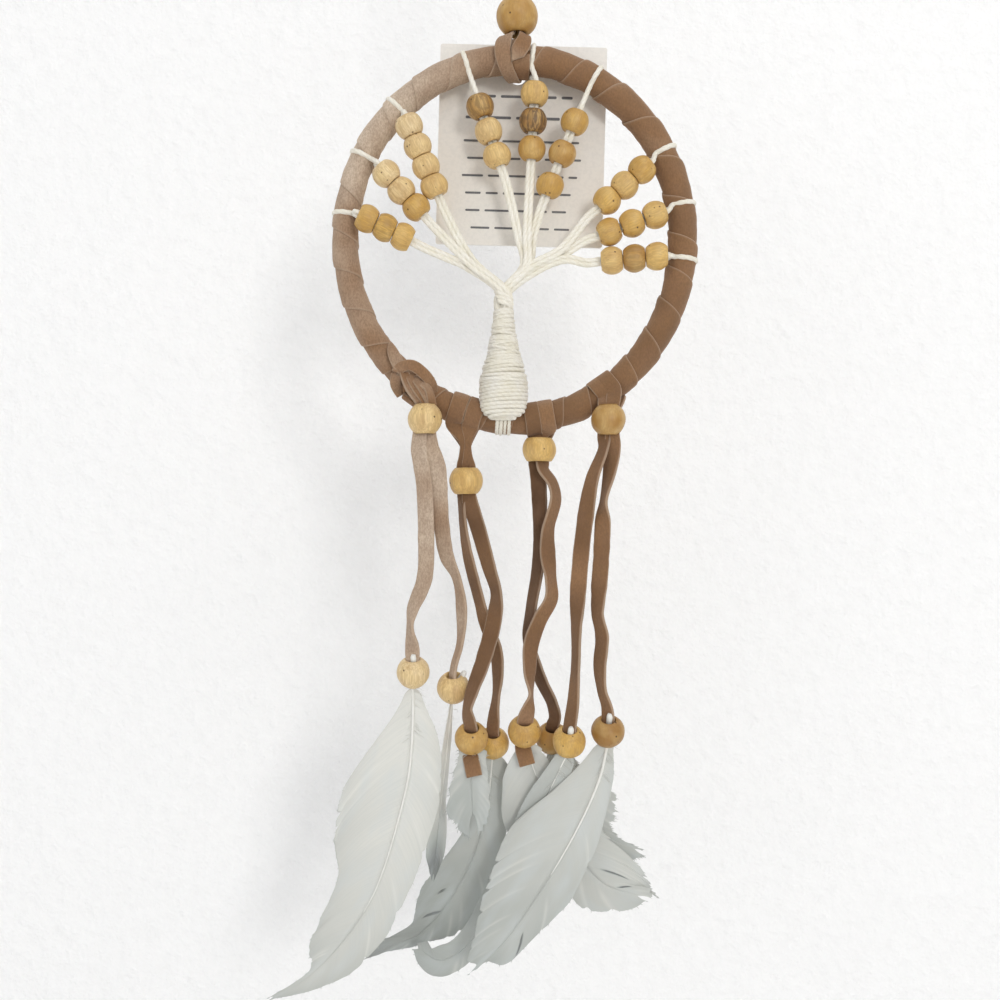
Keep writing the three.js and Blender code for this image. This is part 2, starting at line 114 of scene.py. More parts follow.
class Shape:
    """Points, faces and per-point values, gathered before they become one mesh."""

    def __init__(self):
        self.points, self.quads, self.triangles = [], [], []
        self.values = {}
        self.count = 0

    def add(self, points, quads=(), triangles=(), **values):
        points = np.asarray(points, float).reshape(-1, 3)
        self.points.append(points)
        if len(quads):
            self.quads.append(np.asarray(quads, int).reshape(-1, 4) + self.count)
        if len(triangles):
            self.triangles.append(np.asarray(triangles, int).reshape(-1, 3) + self.count)
        for name, value in values.items():
            value = np.asarray(value, float)
            wanted = (len(points), 3) if value.ndim and value.shape[-1] == 3 else (len(points),)
            self.values.setdefault(name, []).append(np.broadcast_to(value, wanted))
        self.count += len(points)

    def object(self, name, material, smooth=True):
        mesh = bpy.data.meshes.new(name)
        points = to_frame(np.concatenate(self.points))
        quads = np.concatenate(self.quads) if self.quads else np.zeros((0, 4), int)
        triangles = np.concatenate(self.triangles) if self.triangles else np.zeros((0, 3), int)
        corners = np.concatenate([quads.ravel(), triangles.ravel()])
        starts = np.concatenate([
            np.arange(len(quads)) * 4,
            len(quads) * 4 + np.arange(len(triangles)) * 3,
        ])
        mesh.vertices.add(len(points))
        mesh.vertices.foreach_set("co", points.astype(np.float32).ravel())
        mesh.loops.add(len(corners))
        mesh.loops.foreach_set("vertex_index", corners.astype(np.int32))
        mesh.polygons.add(len(starts))
        mesh.polygons.foreach_set("loop_start", starts.astype(np.int32))
        for key, parts in self.values.items():
            value = np.concatenate(parts).astype(np.float32)
            kind, field = ("FLOAT_VECTOR", "vector") if value.ndim == 2 else ("FLOAT", "value")
            attribute = mesh.attributes.new(key, kind, "POINT")
            attribute.data.foreach_set(field, value.ravel())
        mesh.update(calc_edges=True)
        mesh.validate()
        mesh.polygons.foreach_set("use_smooth", np.full(len(mesh.polygons), smooth))
        made = bpy.data.objects.new(name, mesh)
        scene.collection.objects.link(made)
        made.data.materials.append(material)
        return made


def distance_along(points):
    steps = np.linalg.norm(np.diff(points[:, :3], axis=0), axis=1)
    return np.concatenate([[0], np.cumsum(steps)])


def smooth_path(points, step):
    """A smooth curve through the points, in even steps. Extra columns are carried along."""
    points = np.array(points, float)
    gaps = np.maximum(np.diff(distance_along(points)), 1e-6) ** 0.5
    slopes = np.diff(points, axis=0) / gaps[:, None]
    inner = (slopes[:-1] * gaps[1:, None] + slopes[1:] * gaps[:-1, None]) / (
        gaps[:-1] + gaps[1:])[:, None]
    tangents = np.concatenate([slopes[:1], inner, slopes[-1:]])
    t = np.linspace(0, 1, 24, endpoint=False)[:, None]
    fine = [
        (2 * t**3 - 3 * t**2 + 1) * points[i] + (t**3 - 2 * t**2 + t) * gap * tangents[i]
        + (3 * t**2 - 2 * t**3) * points[i + 1] + (t**3 - t**2) * gap * tangents[i + 1]
        for i, gap in enumerate(gaps)]
    fine = np.concatenate([*fine, points[-1:]])
    along = distance_along(fine)
    at = np.linspace(0, along[-1], max(3, int(round(along[-1] / step)) + 1))
    return np.stack([np.interp(at, along, column) for column in fine.T], axis=1)


def smoothed(values, width):
    """Values along a line, each mixed with its neighbours."""
    span = np.arange(-3 * width, 3 * width + 1)
    weight = np.exp(-0.5 * (span / width) ** 2)
    padded = np.pad(values, 3 * width, mode="edge")
    return np.convolve(padded, weight / weight.sum(), mode="valid")


def directions(path):
    return unit(np.gradient(path, axis=0))


def carried(path):
    """Side directions that go along a path without twisting about it."""
    side = np.array([0.31, 0.87, 0.38])  # any direction that no path starts along
    sides = []
    for direction in directions(path):
        side = side - direction * (side @ direction)
        side = side / np.linalg.norm(side)
        sides.append(side)
    return np.array(sides)


def tube_quads(rows, columns, closed=False):
    """Faces of rows of points that each close on themselves; the rows may close too."""
    row, column = np.meshgrid(np.arange(rows - (not closed)), np.arange(columns), indexing="ij")
    here, after = row * columns, (row + 1) % rows * columns
    beside = (column + 1) % columns
    return np.stack([here + column, after + column, after + beside, here + beside],
                    axis=-1).reshape(-1, 4)


def add_bar(shape, rings, middles, inside_out=False, **values):
    """Adds a closed bar, from its rings of points and the middle of each end."""
    steps, corners = rings.shape[:2]
    quads = tube_quads(steps, corners)
    here, middle, end = np.arange(corners), np.full(corners, steps * corners), (steps - 1) * corners
    ahead = (here + 1) % corners
    triangles = np.concatenate([np.stack([middle, here, ahead], axis=1),
                                np.stack([middle + 1, end + ahead, end + here], axis=1)])
    if inside_out:
        quads, triangles = np.roll(quads[:, ::-1], 1, axis=1), triangles[:, [0, 2, 1]]
    for name, value in values.items():
        value = np.broadcast_to(value, (steps, corners)).ravel()
        values[name] = np.concatenate([value, value[:1], value[-1:]])
    shape.add(np.concatenate([rings.reshape(-1, 3), *middles]), quads, triangles, **values)


def swept(shape, path, sides, section, **values):
    """Adds a closed bar: section is (steps, corners, 2), along sides and across them."""
    ahead = directions(path)
    sides = unit(sides - ahead * (sides * ahead).sum(1, keepdims=True))
    across = np.cross(ahead, sides)
    section = np.broadcast_to(section, (len(path), *np.shape(section)[-2:]))
    rings = (path[:, None] + section[..., :1] * sides[:, None]
             + section[..., 1:] * across[:, None])
    add_bar(shape, rings, (path[:1], path[-1:]), inside_out=True, **values)


def circle(corners):
    angle = np.arange(corners) * 2 * np.pi / corners
    return np.stack([np.cos(angle), np.sin(angle)], axis=1)


def strand(shape, path, radius, lay, plies=3, corners=15, turn=0.0):
    """A twisted cord: a lobed section that turns once in each lay along the path."""
    angle = np.arange(corners)[None] * 2 * np.pi / corners
    groove = np.abs(np.cos(plies * angle / 2))
    size = radius * (0.86 + 0.15 * groove)
    turned = angle + (turn + distance_along(path)[:, None] * 2 * np.pi / lay)
    section = np.stack([size * np.cos(turned), size * np.sin(turned)], axis=-1)
    # groove carries painted shade, 1 in the hollows between the plies
    swept(shape, path, carried(path), section, groove=1 - groove)


def ribbon_section(widths, thickness, curl):
    """The section of a flat lace: two broad faces, two cut edges, and a slight curl."""
    half, corner = 0.5, 0.07
    face = np.array([-half + corner, -0.25, 0, 0.25, half - corner])
    x = np.concatenate([face, [half, half], face[::-1], [-half, -half]])
    y = np.concatenate([np.full(5, -0.5), [-0.32, 0.32], np.full(5, 0.5), [0.32, -0.32]])
    edge = np.concatenate([np.zeros(5), [1, 1], np.zeros(5), [1, 1]])
    wide = widths[:, None] * x[None]
    deep = thickness * y[None] + curl[:, None] * (4 * x[None] ** 2 - 0.4)
    return np.stack([wide, deep], axis=-1), edge


def ribbon(shape, points, width=LACE_WIDTH, thickness=LACE_THICKNESS, seed=0.0, shade=0.5,
           curl=0.35, point_ends=False):
    """A flat lace through rows of (x, y, z, side x, side y, side z, width share).

    Returns the line that it follows."""
    path = smooth_path(points, LACE_STEP)
    line, sides, share = path[:, :3], path[:, 3:6], path[:, 6]
    at = np.arange(len(line)) * LACE_STEP
    slow = wobble(at * 0.09, seed, 7.7)
    widths = width * share * (1 + 0.05 * wobble(at * 0.35, seed, 3.1))
    if point_ends:
        widths = widths * np.clip(at / 3.0, 0.08, 1)
    section, edge = ribbon_section(widths, thickness, curl * slow * share)
    swept(shape, line, sides, section, edge=edge, shade=shade + 0.24 * slow[:, None])
    return line


def facing(points, turns, shares):
    """Rows for ribbon(): a lace that hangs, turned by so many degrees about its own line."""
    ahead = directions(points)
    level = unit(np.stack([-ahead[:, 2], 0 * ahead[:, 0], ahead[:, 0]], axis=1))
    front = np.cross(ahead, level)
    turn = np.radians(turns)[:, None]
    sides = np.cos(turn) * level + np.sin(turn) * front
    return np.concatenate([points, sides, shares[:, None]], axis=1)


# ---- materials -----------------------------------------------------------------------


class Nodes:
    """A short way to build a node material around one Principled shader."""

    def __init__(self, name):
        self.material = bpy.data.materials.new(name)
        self.material.use_nodes = True
        self.tree = self.material.node_tree
        self.shader = self.tree.nodes["Principled BSDF"]
        self.base = None

    def new(self, kind, inputs, **settings):
        """A node; each input takes a socket, a number, a vector or a colour."""
        node = self.tree.nodes.new(kind)
        for key, value in settings.items():
            setattr(node, key, value)
        for key, value in inputs.items():
            self.feed(node.inputs[key], value)
        return node

    def feed(self, socket, value):
        if isinstance(value, bpy.types.NodeSocket):
            self.tree.links.new(value, socket)
        elif socket.type == "RGBA" and isinstance(value, tuple):
            socket.default_value = (*value, 1)
        else:
            socket.default_value = value

    def attribute(self, name, kind="Fac"):
        return self.new("ShaderNodeAttribute", {}, attribute_name=name).outputs[kind]

    def place(self):
        return self.new("ShaderNodeTexCoord", {}).outputs["Object"]

    def noise(self, vector, scale, detail, roughness, distortion=0.0, stretch=None):
        if stretch:
            vector = self.new("ShaderNodeMapping", {"Vector": vector, "Scale": stretch}).outputs[0]
        return self.new("ShaderNodeTexNoise", {
            "Vector": vector, "Scale": scale, "Detail": detail, "Roughness": roughness,
            "Distortion": distortion}).outputs["Fac"]

    def ramp(self, factor, stops):
        """Stops are (place, colour), or (place, grey) for a factor."""
        node = self.new("ShaderNodeValToRGB", {"Fac": factor})
        elements = node.color_ramp.elements
        while len(elements) < len(stops):
            elements.new(0.5)
        for element, (place, colour) in zip(elements, stops):
            element.position = place
            element.color = (*np.broadcast_to(colour, 3), 1)
        return node.outputs["Color"]

    def mix(self, factor, first, second):
        return self.new("ShaderNodeMix", {0: factor, 6: first, 7: second},
                        data_type="RGBA").outputs[2]

    def maths(self, operation, first, second):
        return self.new("ShaderNodeMath", {0: first, 1: second}, operation=operation).outputs[0]

    def bump(self, height, strength, distance):
        node = self.new("ShaderNodeBump", {
            "Strength": strength, "Distance": distance, "Height": height})
        self.feed(self.shader.inputs["Normal"], node.outputs["Normal"])

    def over(self, factor, colour):
        """Lays a colour over the base colour."""
        self.base = self.mix(factor, self.base, colour)

    def finish(self, **values):
        """Sets the shader's inputs: their names, with _ for a space."""
        self.feed(self.shader.inputs["Base Color"], self.base)
        for key, value in values.items():
            self.feed(self.shader.inputs[key.replace("_", " ")], value)
        return self.material


def suede_material():
    n = Nodes("suede")
    place = n.place()
    patches = n.noise(place, 170, 4, 0.6)
    nap = n.noise(place, 2300, 3, 0.65, stretch=(1, 1, 0.55))
    n.base = n.ramp(n.attribute("shade"), [
        (0.0, (0.080, 0.038, 0.016)), (0.5, (0.275, 0.150, 0.072)),
        (1.0, (0.640, 0.525, 0.410))])
    n.over(n.ramp(patches, [(0.35, 0), (0.7, 0.35)]), (0.225, 0.128, 0.078))
    n.over(n.ramp(nap, [(0.38, 0.34), (0.62, 0)]), (0.115, 0.066, 0.038))
    n.over(n.maths("MULTIPLY", n.attribute("edge"), 0.5), (0.500, 0.385, 0.285))
    n.bump(n.maths("ADD", nap, n.maths("MULTIPLY", patches, 1.6)), 0.5, 0.00022)
    return n.finish(Roughness=0.92, Specular_IOR_Level=0.18, Sheen_Weight=0.28,
                    Sheen_Roughness=0.55, Sheen_Tint=(0.86, 0.72, 0.6))


def wood_material():
    """Turned beads: grain along each bead, small dark pits, a thin soft polish."""
    n = Nodes("wood_bead")
    place = n.attribute("grain_at", "Vector")
    rings = n.noise(place, 1.0, 4, 0.55, 0.8, stretch=(0.42, 0.42, 0.07))
    fine = n.noise(place, 1.0, 3, 0.6, stretch=(2.6, 2.6, 0.22))
    patches = n.noise(place, 0.23, 2, 0.5)
    n.base = n.ramp(n.attribute("tone"), [
        (0.0, (0.790, 0.625, 0.365)), (0.5, (0.650, 0.400, 0.098)),
        (0.85, (0.420, 0.225, 0.055)), (1.0, (0.300, 0.152, 0.040))])
    n.over(n.ramp(rings, [(0.42, 0), (0.66, 0.5)]), (0.405, 0.225, 0.078))
    n.over(n.ramp(patches, [(0.4, 0), (0.75, 0.4)]), (0.800, 0.600, 0.260))
    n.over(n.ramp(fine, [(0.44, 0.3), (0.58, 0)]), (0.330, 0.185, 0.070))
    streaks = n.noise(place, 1.0, 3, 0.6, 0.5, stretch=(1.25, 1.25, 0.1))
    streaks = n.ramp(streaks, [(0.4, 0), (0.56, 1)])
    n.over(n.maths("MULTIPLY", n.attribute("streak"), streaks), (0.135, 0.078, 0.036))
    pits = n.new("ShaderNodeTexVoronoi", {"Vector": place, "Scale": 0.36}, feature="F1")
    pit = n.ramp(pits.outputs["Distance"], [(0.075, 0.9), (0.125, 0)])
    n.over(pit, (0.075, 0.035, 0.014))
    n.bump(n.maths("SUBTRACT", n.maths("MULTIPLY", fine, 0.5), pit), 0.3, 0.00018)
    return n.finish(Roughness=n.ramp(fine, [(0.3, 0.5), (0.7, 0.36)]),
                    Specular_IOR_Level=0.32, Coat_Weight=0.08, Coat_Roughness=0.3)


def cotton_material():
    n = Nodes("cotton_cord")
    place = n.place()
    fibres = n.noise(place, 2600, 3, 0.6)
    n.base = n.mix(n.ramp(n.noise(place, 240, 3, 0.5), [(0.35, 0), (0.7, 1)]),
                   (0.835, 0.800, 0.690), (0.885, 0.862, 0.795))
    # Painted shade: the cord is painted darker in the grooves between its plies
    n.over(n.maths("MULTIPLY", n.attribute("groove"), 0.3), (0.600, 0.540, 0.420))
    n.over(n.ramp(fibres, [(0.36, 0.25), (0.55, 0)]), (0.640, 0.575, 0.440))
    n.bump(fibres, 0.45, 0.00014)
    return n.finish(Roughness=0.88, Specular_IOR_Level=0.2, Sheen_Weight=0.35,
                    Sheen_Roughness=0.4)


def feather_material():
    """Cream-white by the shaft, cool blue-grey towards the tip, faint lines along the barbs."""
    n = Nodes("feather")
    n.base = n.ramp(n.attribute("tint"), [
        (0.0, (0.790, 0.780, 0.725)), (0.35, (0.570, 0.575, 0.535)),
        (0.6, (0.385, 0.405, 0.380)), (0.8, (0.235, 0.244, 0.232)),
        (1.0, (0.150, 0.158, 0.150))])
    web = n.attribute("web_at", "Vector")
    lines = n.noise(web, 1.0, 4, 0.65, stretch=(2.4, 0.07, 1))
    cloud = n.noise(web, 1.0, 2, 0.5, stretch=(0.09, 0.12, 1))
    n.over(n.ramp(lines, [(0.35, 0.2), (0.62, 0)]), (0.440, 0.470, 0.460))
    n.over(n.ramp(cloud, [(0.45, 0), (0.75, 0.3)]), (0.560, 0.610, 0.625))
    n.bump(lines, 0.16, 0.00014)
    return n.finish(Roughness=0.62, Specular_IOR_Level=0.3, Sheen_Weight=0.3,
                    Sheen_Roughness=0.4)


def mottled_material(name, spots, first, second, strength, distance, **values):
    """Two colours mixed by one noise: spots is its scale, detail and roughness."""
    n = Nodes(name)
    mottle = n.noise(n.place(), *spots)
    n.base = n.mix(mottle, first, second)
    if strength:
        n.bump(mottle, strength, distance)
    return n.finish(**values)


def card_material():
    n = Nodes("card")
    place = n.place()
    wash = n.noise(place, 26, 2, 0.5)
    n.base = n.mix(wash, (0.780, 0.745, 0.690), (0.850, 0.820, 0.765))
    fleck = n.noise(place, 900, 3, 0.6)
    n.over(n.ramp(fleck, [(0.4, 0.12), (0.55, 0)]), (0.520, 0.520, 0.500))
    n.bump(wash, 0.05, 0.0004)
    return n.finish(Roughness=0.3, Specular_IOR_Level=0.5, Coat_Weight=0.35,
                    Coat_Roughness=0.12)


SUEDE = suede_material()
WOOD = wood_material()
COTTON = cotton_material()
FEATHER = feather_material()
QUILL = mottled_material(
    "quill", (500, 2, 0.5), (0.730, 0.725, 0.670), (0.840, 0.840, 0.805), 0.15, 0.0001,
    Roughness=0.35, Specular_IOR_Level=0.5, Coat_Weight=0.2, Coat_Roughness=0.25)
CARD = card_material()
INK = mottled_material(
    "card_ink", (1500, 2, 0.5), (0.090, 0.090, 0.095), (0.160, 0.160, 0.165), 0, 0,
    Roughness=0.4)
RATTAN = mottled_material(
    "rattan", (700, 3, 0.6), (0.360, 0.235, 0.110), (0.560, 0.400, 0.215), 0.3, 0.0002,
    Roughness=0.65)


def finish_piece(piece, body=None, nodes=()):
    if body:
        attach(piece, body)
    if nodes:
        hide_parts(*nodes)
    return piece


# ---- camera --------------------------------------------------------------------------

CAMERA_AT = (-4.12, -308.8, -76.5)
CAMERA_LENS = 37.8


def add_camera():
    data = bpy.data.cameras.new("camera")
    data.lens = CAMERA_LENS
    data.clip_start = 0.01
    camera = bpy.data.objects.new("camera", data)
    camera.location = frame_point(*CAMERA_AT)
    camera.rotation_euler = (math.pi / 2, 0, 0)
    scene.collection.objects.link(camera)
    scene.camera = camera


# ---- hoop ----------------------------------------------------------------------------


def hoop_point(degrees):
    angle = np.radians(degrees)
    return np.stack([
        HOOP_HALF_WIDTH * np.cos(angle), 0 * angle, HOOP_HALF_HEIGHT * np.sin(angle)], axis=-1)


def hoop_axes(degrees):
    """Directions along the hoop, anticlockwise from the front, and out from its middle."""
    angle = np.radians(degrees)
    along = unit(np.stack([
        -HOOP_HALF_WIDTH * np.sin(angle), 0 * angle, HOOP_HALF_HEIGHT * np.cos(angle)], axis=-1))
    outward = np.stack([along[..., 2], 0 * angle, -along[..., 0]], axis=-1)
    return along, outward


def around_hoop(degrees, radius, turn):
    """Places about the hoop's tube. The turn is 0 outward, and positive to the front."""
    _, outward = hoop_axes(degrees)
    rim = np.cos(turn)[..., None] * outward + np.sin(turn)[..., None] * FRONT
    return hoop_point(degrees) + np.asarray(radius)[..., None] * rim


WRAP_TOP_RADIUS = 4.4  # the strip's outer face where it lies on its neighbour
WRAP_TUCKED_RADIUS = 3.95
WRAP_THICKNESS = 0.55
WRAP_OVERLAP = 0.16  # share of a turn that is tucked under the next
WRAP_TURN = 12.6  # how far the strip moves along the hoop in a turn
WRAP_TIGHT_TURN = 7.4
WRAP_TIGHT = (218, 318)  # degrees of the hoop where the turns are tight


def wrap_places():
    """Turns of the strip from the hoop's top, the degrees that they are at, and their number."""
    degrees = np.linspace(90, 450, 4001)
    steps = np.diff(distance_along(hoop_point(degrees)))
    low, high = WRAP_TIGHT
    tight = 1 / (1 + np.exp(-(degrees - low) / 3)) * 1 / (1 + np.exp((degrees - high) / 3))
    uneven = 1 + 0.34 * wobble(degrees * 0.043, 2.7)
    turn = (WRAP_TURN + (WRAP_TIGHT_TURN - WRAP_TURN) * tight) * uneven
    turns = np.concatenate([[0], np.cumsum(steps / turn[1:])])
    whole = round(turns[-1])
    return turns * whole / turns[-1], degrees, whole


def wrap_slimness(degrees):
    """The strip is stretched tighter on the hoop's left."""
    return 1 - 0.1 * np.clip(-np.cos(np.radians(degrees)), 0, 1)


def add_wrap():
    turns, degrees, whole = wrap_places()
    per_turn = 48
    q = np.arange(-per_turn, whole * per_turn + 1) / per_turn  # turns of the strip so far
    last = 1 + WRAP_OVERLAP
    outer = np.array([0, 0.08, 0.16, 0.27, 0.38, 0.5, 0.62, 0.74, 0.86, 0.95, 1.0, 1.05, 1.1,
                      last - 0.02, last])
    inner = outer[::-2]
    v = np.concatenate([outer, inner])  # across the strip, in turns
    is_inner = np.concatenate([0 * outer, 0 * inner + 1])
    edge = np.clip((v - (last - 0.035)) / 0.03, 0, 1) * (1 - 0.6 * is_inner)
    place = np.interp(q[:, None] + v, turns, degrees)
    around = 2 * np.pi * q[:, None] + 0 * v
    climb = np.clip((v - WRAP_OVERLAP) / (1 - WRAP_OVERLAP), 0, 1)
    radius = WRAP_TUCKED_RADIUS + (WRAP_TOP_RADIUS - WRAP_TUCKED_RADIUS) * climb
    radius = radius - 0.1 * np.clip((v - last + 0.03) / 0.03, 0, 1)
    radius = radius * wrap_slimness(place)
    soft = wobble(*np.moveaxis(around_hoop(place, radius, around) * 0.16, -1, 0))
    crease = wobble(place * 0.55, np.cos(around) * 1.1, np.sin(around) * 1.1)
    gathered = 0.5 - 0.5 * np.cos(around)  # most on the inside of the hoop
    radius = radius + 0.16 * soft + (0.1 + 0.12 * gathered) * crease - WRAP_THICKNESS * is_inner
    surface = around_hoop(place, radius, around)
    # Painted light and shade: the strip is painted darker towards the hoop's bottom and paler on
    # its left and top left, as if lit from the upper left
    low = np.clip(-surface[..., 2] / 60, -1, 1)
    painted_light = np.clip(-surface[..., 0] / 60, 0, 1)  # painted light: the strip is painted paler on the hoop's left
    # shade mixes that painted light with tone that differs at random along the strip and from turn
    # to turn
    shade = (0.42 - 0.1 * low + 0.33 * painted_light + 0.75 * painted_light * np.clip(-low, 0, 1) + 0.1 * soft
             + 0.12 * wobble(np.floor(q) * 3.7, 9.1)[:, None])
    shape = Shape()
    add_bar(shape, surface, (surface[:1].mean(1), surface[-1:].mean(1)), shade=shade, edge=edge)
    finish_piece(shape.object("hoop_suede_wrap", SUEDE), "hoop", ["hoop_wrap"])
    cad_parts["hoop_core"].data.materials.clear()
    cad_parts["hoop_core"].data.materials.append(RATTAN)


# ---- beads ---------------------------------------------------------------------------

BEAD_RIM = 0.32  # the rounded edge of a bead's bore
# radius, half-length, bore radius
TREE_BEAD = (4.05, 3.3, 1.5)
HANGER_BEAD = (6.1, 5.2, 2.5)
END_BEAD = (4.85, 4.15, 2.1)
UPPER_BEAD_RADIUS = 5.0
UPPER_BEAD_BORE = 2.6


def add_bead(node, body, size, axis, tone, streak=0.0):
    """A turned bead, its grain and small faults different on each."""
    radius, half_length, bore = size
    seed = sum(ord(letter) * (i + 3) for i, letter in enumerate(node)) % 97
    edge = math.asin(half_length / radius)
    arc = np.linspace(-edge * 0.97, edge * 0.97, 21)
    outside = radius * np.stack([np.cos(arc), np.sin(arc)], axis=1)
    lip = np.array([[bore + BEAD_RIM, half_length - 0.02],
                    [bore + 0.4 * BEAD_RIM, half_length - 0.05],
                    [bore, half_length - BEAD_RIM], [bore * 0.98, half_length * 0.5]])
    profile = np.concatenate([outside, lip, [[bore * 0.97, 0.0]], (lip * [1, -1])[::-1]])
    corners, around = len(profile), 40
    local = np.concatenate([
        circle(around)[:, None] * profile[None, :, :1],
        np.broadcast_to(profile[None, :, 1:], (around, corners, 1))], axis=-1).reshape(-1, 3)
    lumps = wobble(*(local * 0.21 + seed * 1.7).T)
    faces = wobble(*(local * 0.5 + seed * 2.3).T)
    local = local * (1 + 0.03 * lumps + 0.012 * faces)[:, None]
    axis = unit(axis)
    side = unit(np.cross(axis, [0.23, 0.91, 0.35]))
    turned = np.stack([side, np.cross(axis, side), axis])
    shape = Shape()
    shape.add(node_centre(node) + local @ turned, tube_quads(around, corners, closed=True),
              grain_at=local + seed * np.array([7.3, 3.1, 5.9]),
              tone=tone + 0.07 * wobble(seed * 1.3, 5.5), streak=streak)
    name = node.replace("bead", "turned_bead")
    return finish_piece(shape.object(name, WOOD), body, [node])


# each bead's tone from its row's outer end: 0 is pale, 0.5 golden and 1 dark brown
ROW_TONES = {
    "left_high": (0.0, 0.12, 0.2, 0.28), "left_mid": (0.04, 0.14, 0.62),
    "left_low": (0.6, 0.5, 0.42), "top_left": (0.8, 0.22, 0.3),
    "top_mid": (0.4, 0.95, 0.68), "top_right": (0.68, 0.78, 0.64),
    "right_high": (0.62, 0.4, 0.5), "right_mid": (0.44, 0.56, 0.62),
    "right_low": (0.44, 0.78, 0.36),
}
STREAKED = {"tree_bead_top_left_1": 0.55, "tree_bead_top_mid_2": 0.9,
            "tree_bead_right_low_2": 0.25, "tree_bead_left_low_2": 0.3}


def add_tree_beads():
    for row, tones in ROW_TONES.items():
        names = [f"tree_bead_{row}_{i + 1}" for i in range(len(tones))]
        axis = node_centre(names[-1]) - node_centre(names[0])
        radius, half_length, bore = TREE_BEAD
        room = np.linalg.norm(axis) / (len(names) - 1) / 2 - 0.05
        for name, tone in zip(names, tones):
            add_bead(name, f"tree_row_{row}", (radius, min(room, half_length), bore), axis,
                     tone, STREAKED.get(name, 0.0))


# half-length and tone
UPPER_BEADS = {1: (4.3, 0.14), 2: (3.9, 0.36), 3: (3.5, 0.4), 4: (4.4, 0.92)}
END_TONES = {"1a": 0.05, "1b": 0.2, "2a": 0.5, "2b": 0.7, "3a": 0.8, "3b": 0.66,
             "4a": 0.58, "4b": 0.95}


def add_hanging_beads():
    add_bead("hanger_bead", "hanger_bead", HANGER_BEAD, UP, 0.84)
    for number, (half, tone) in UPPER_BEADS.items():
        size = (UPPER_BEAD_RADIUS, half, UPPER_BEAD_BORE)
        add_bead(f"upper_bead_{number}", f"upper_bead_{number}", size, UP, tone)
    for tail, tone in END_TONES.items():
        lean = math.radians(END_TILTS[tail])
        axis = (0, -math.sin(lean), math.cos(lean))
        add_bead(f"end_bead_{tail}", f"tip_{tail}", END_BEAD, axis, tone)


# ---- tree cords ----------------------------------------------------------------------

LEFT_FORK = (-13.2, -3.0, -7.4)
RIGHT_FORK = (4.2, -3.0, -9.4)
TRUNK_X = -3.1
TRUNK_TOP = (TRUNK_X, -2.5, -17.5)
# hoop degrees, the points after the last bead, and where the cord lies in its bundle
TREE_CORDS = {
    "left_high": (133.7, [LEFT_FORK], (1.2, 0.5)),
    "left_mid": (152.9, [LEFT_FORK], (0.0, -0.8)),
    "left_low": (172.2, [(-18, -3.2, -5.6), LEFT_FORK], (-1.2, 0.4)),
    "top_left": (106.4, [(2.6, -3, 0), RIGHT_FORK], (1.8, 0.3)),
    "top_mid": (83.8, [(4.4, -3, 0), RIGHT_FORK], (1.0, -0.9)),
    "top_right": (61.6, [(5.6, -3, 0), RIGHT_FORK], (0.3, 0.8)),
    "right_high": (28.7, [(13.7, -3, -4.0), RIGHT_FORK], (0.4, -0.9)),
    "right_mid": (10.7, [(13.9, -3, -4.4), RIGHT_FORK], (-0.7, 0.7)),
    "right_low": (-6.5, [(14.0, -3, -5.5), RIGHT_FORK], (-1.5, -0.2)),
}
STRAND_TURN_RADIUS = 4.15  # a cord's middle, around the wrapped hoop
STRAND_APART = 0.62  # each of the two passes of a cord, from the middle of the row
STRAND_LAY = 7.0
BRANCH_STRAIGHT = 3.7  # a cord goes on straight for twice this after its last bead
BEAD_TO_HOOP = 3.6  # from the first bead's middle to where its cord starts to bend


def row_line(row):
    """A row's cord: up from the trunk, through the beads, around the hoop and back down."""
    degrees, via, (aside, deep) = TREE_CORDS[row]
    outer = node_centre(f"tree_bead_{row}_1")
    inner = node_centre(f"tree_bead_{row}_{len(ROW_TONES[row])}")
    ahead = unit(inner - outer)
    left = via[-1] is LEFT_FORK
    down = [outer, (outer + inner) / 2, inner, inner + ahead * BRANCH_STRAIGHT,
            inner + ahead * 2 * BRANCH_STRAIGHT]
    end = np.array(TRUNK_TOP)
    for place in via:
        fall = unit(end - place)
        across = np.array([-fall[2], 0, fall[0]]) * (1 if left else -1)
        share = 1.0 if place is via[-1] else 0.75
        down.append(place + share * (aside * across + [0, deep, 0]))
    crossing = np.array([0.7, -1.0, 0.4]) if left else np.array([-0.4, 0.6, 0.4])
    spread = aside if left else -aside
    down.append(end + crossing + [spread * 0.5, deep * 0.7, 0])
    down.append(end + [spread * 0.45, deep * 0.9, -7.0])
    down = np.array(down)
    across = unit(np.cross(directions(down), FRONT))
    turn = np.radians([128, 95, 60, 25, -15, -55, -90, -125, -155])
    around = around_hoop(degrees, STRAND_TURN_RADIUS * wrap_slimness(degrees), turn)
    lift = -ahead * BEAD_TO_HOOP
    return np.concatenate([
        (down - STRAND_APART * across)[::-1], [outer + lift + 0.5 * FRONT - 0.3 * across[0]],
        around, [outer + lift - 0.8 * FRONT + 0.3 * across[0]], down + STRAND_APART * across])


def add_tree_cords():
    for number, row in enumerate(TREE_CORDS):
        shape = Shape()
        strand(shape, smooth_path(row_line(row), 0.3), STRAND_RADIUS, STRAND_LAY, turn=number)
        finish_piece(shape.object(f"tree_cord_{row}", COTTON), "hoop",
                     ["tree_cords"] if number == 0 else [])
    neck = Shape()
    q = np.linspace(0, 1, 150)
    for start, top in ((2.9, -15.9), (2.6, -17.3), (2.3, -18.7)):
        angle = start - q * 2 * np.pi * 0.9
        line = np.stack([
            TRUNK_X + (2.2 + 0.15 * q) * np.cos(angle),
            TRUNK_TOP[1] - (2.3 + 0.1 * q) * np.sin(angle), top - 4.6 * q], axis=1)
        strand(neck, smooth_path(line, 0.3), 0.72, STRAND_LAY, turn=start)
    finish_piece(neck.object("trunk_neck_cord", COTTON), "hoop")


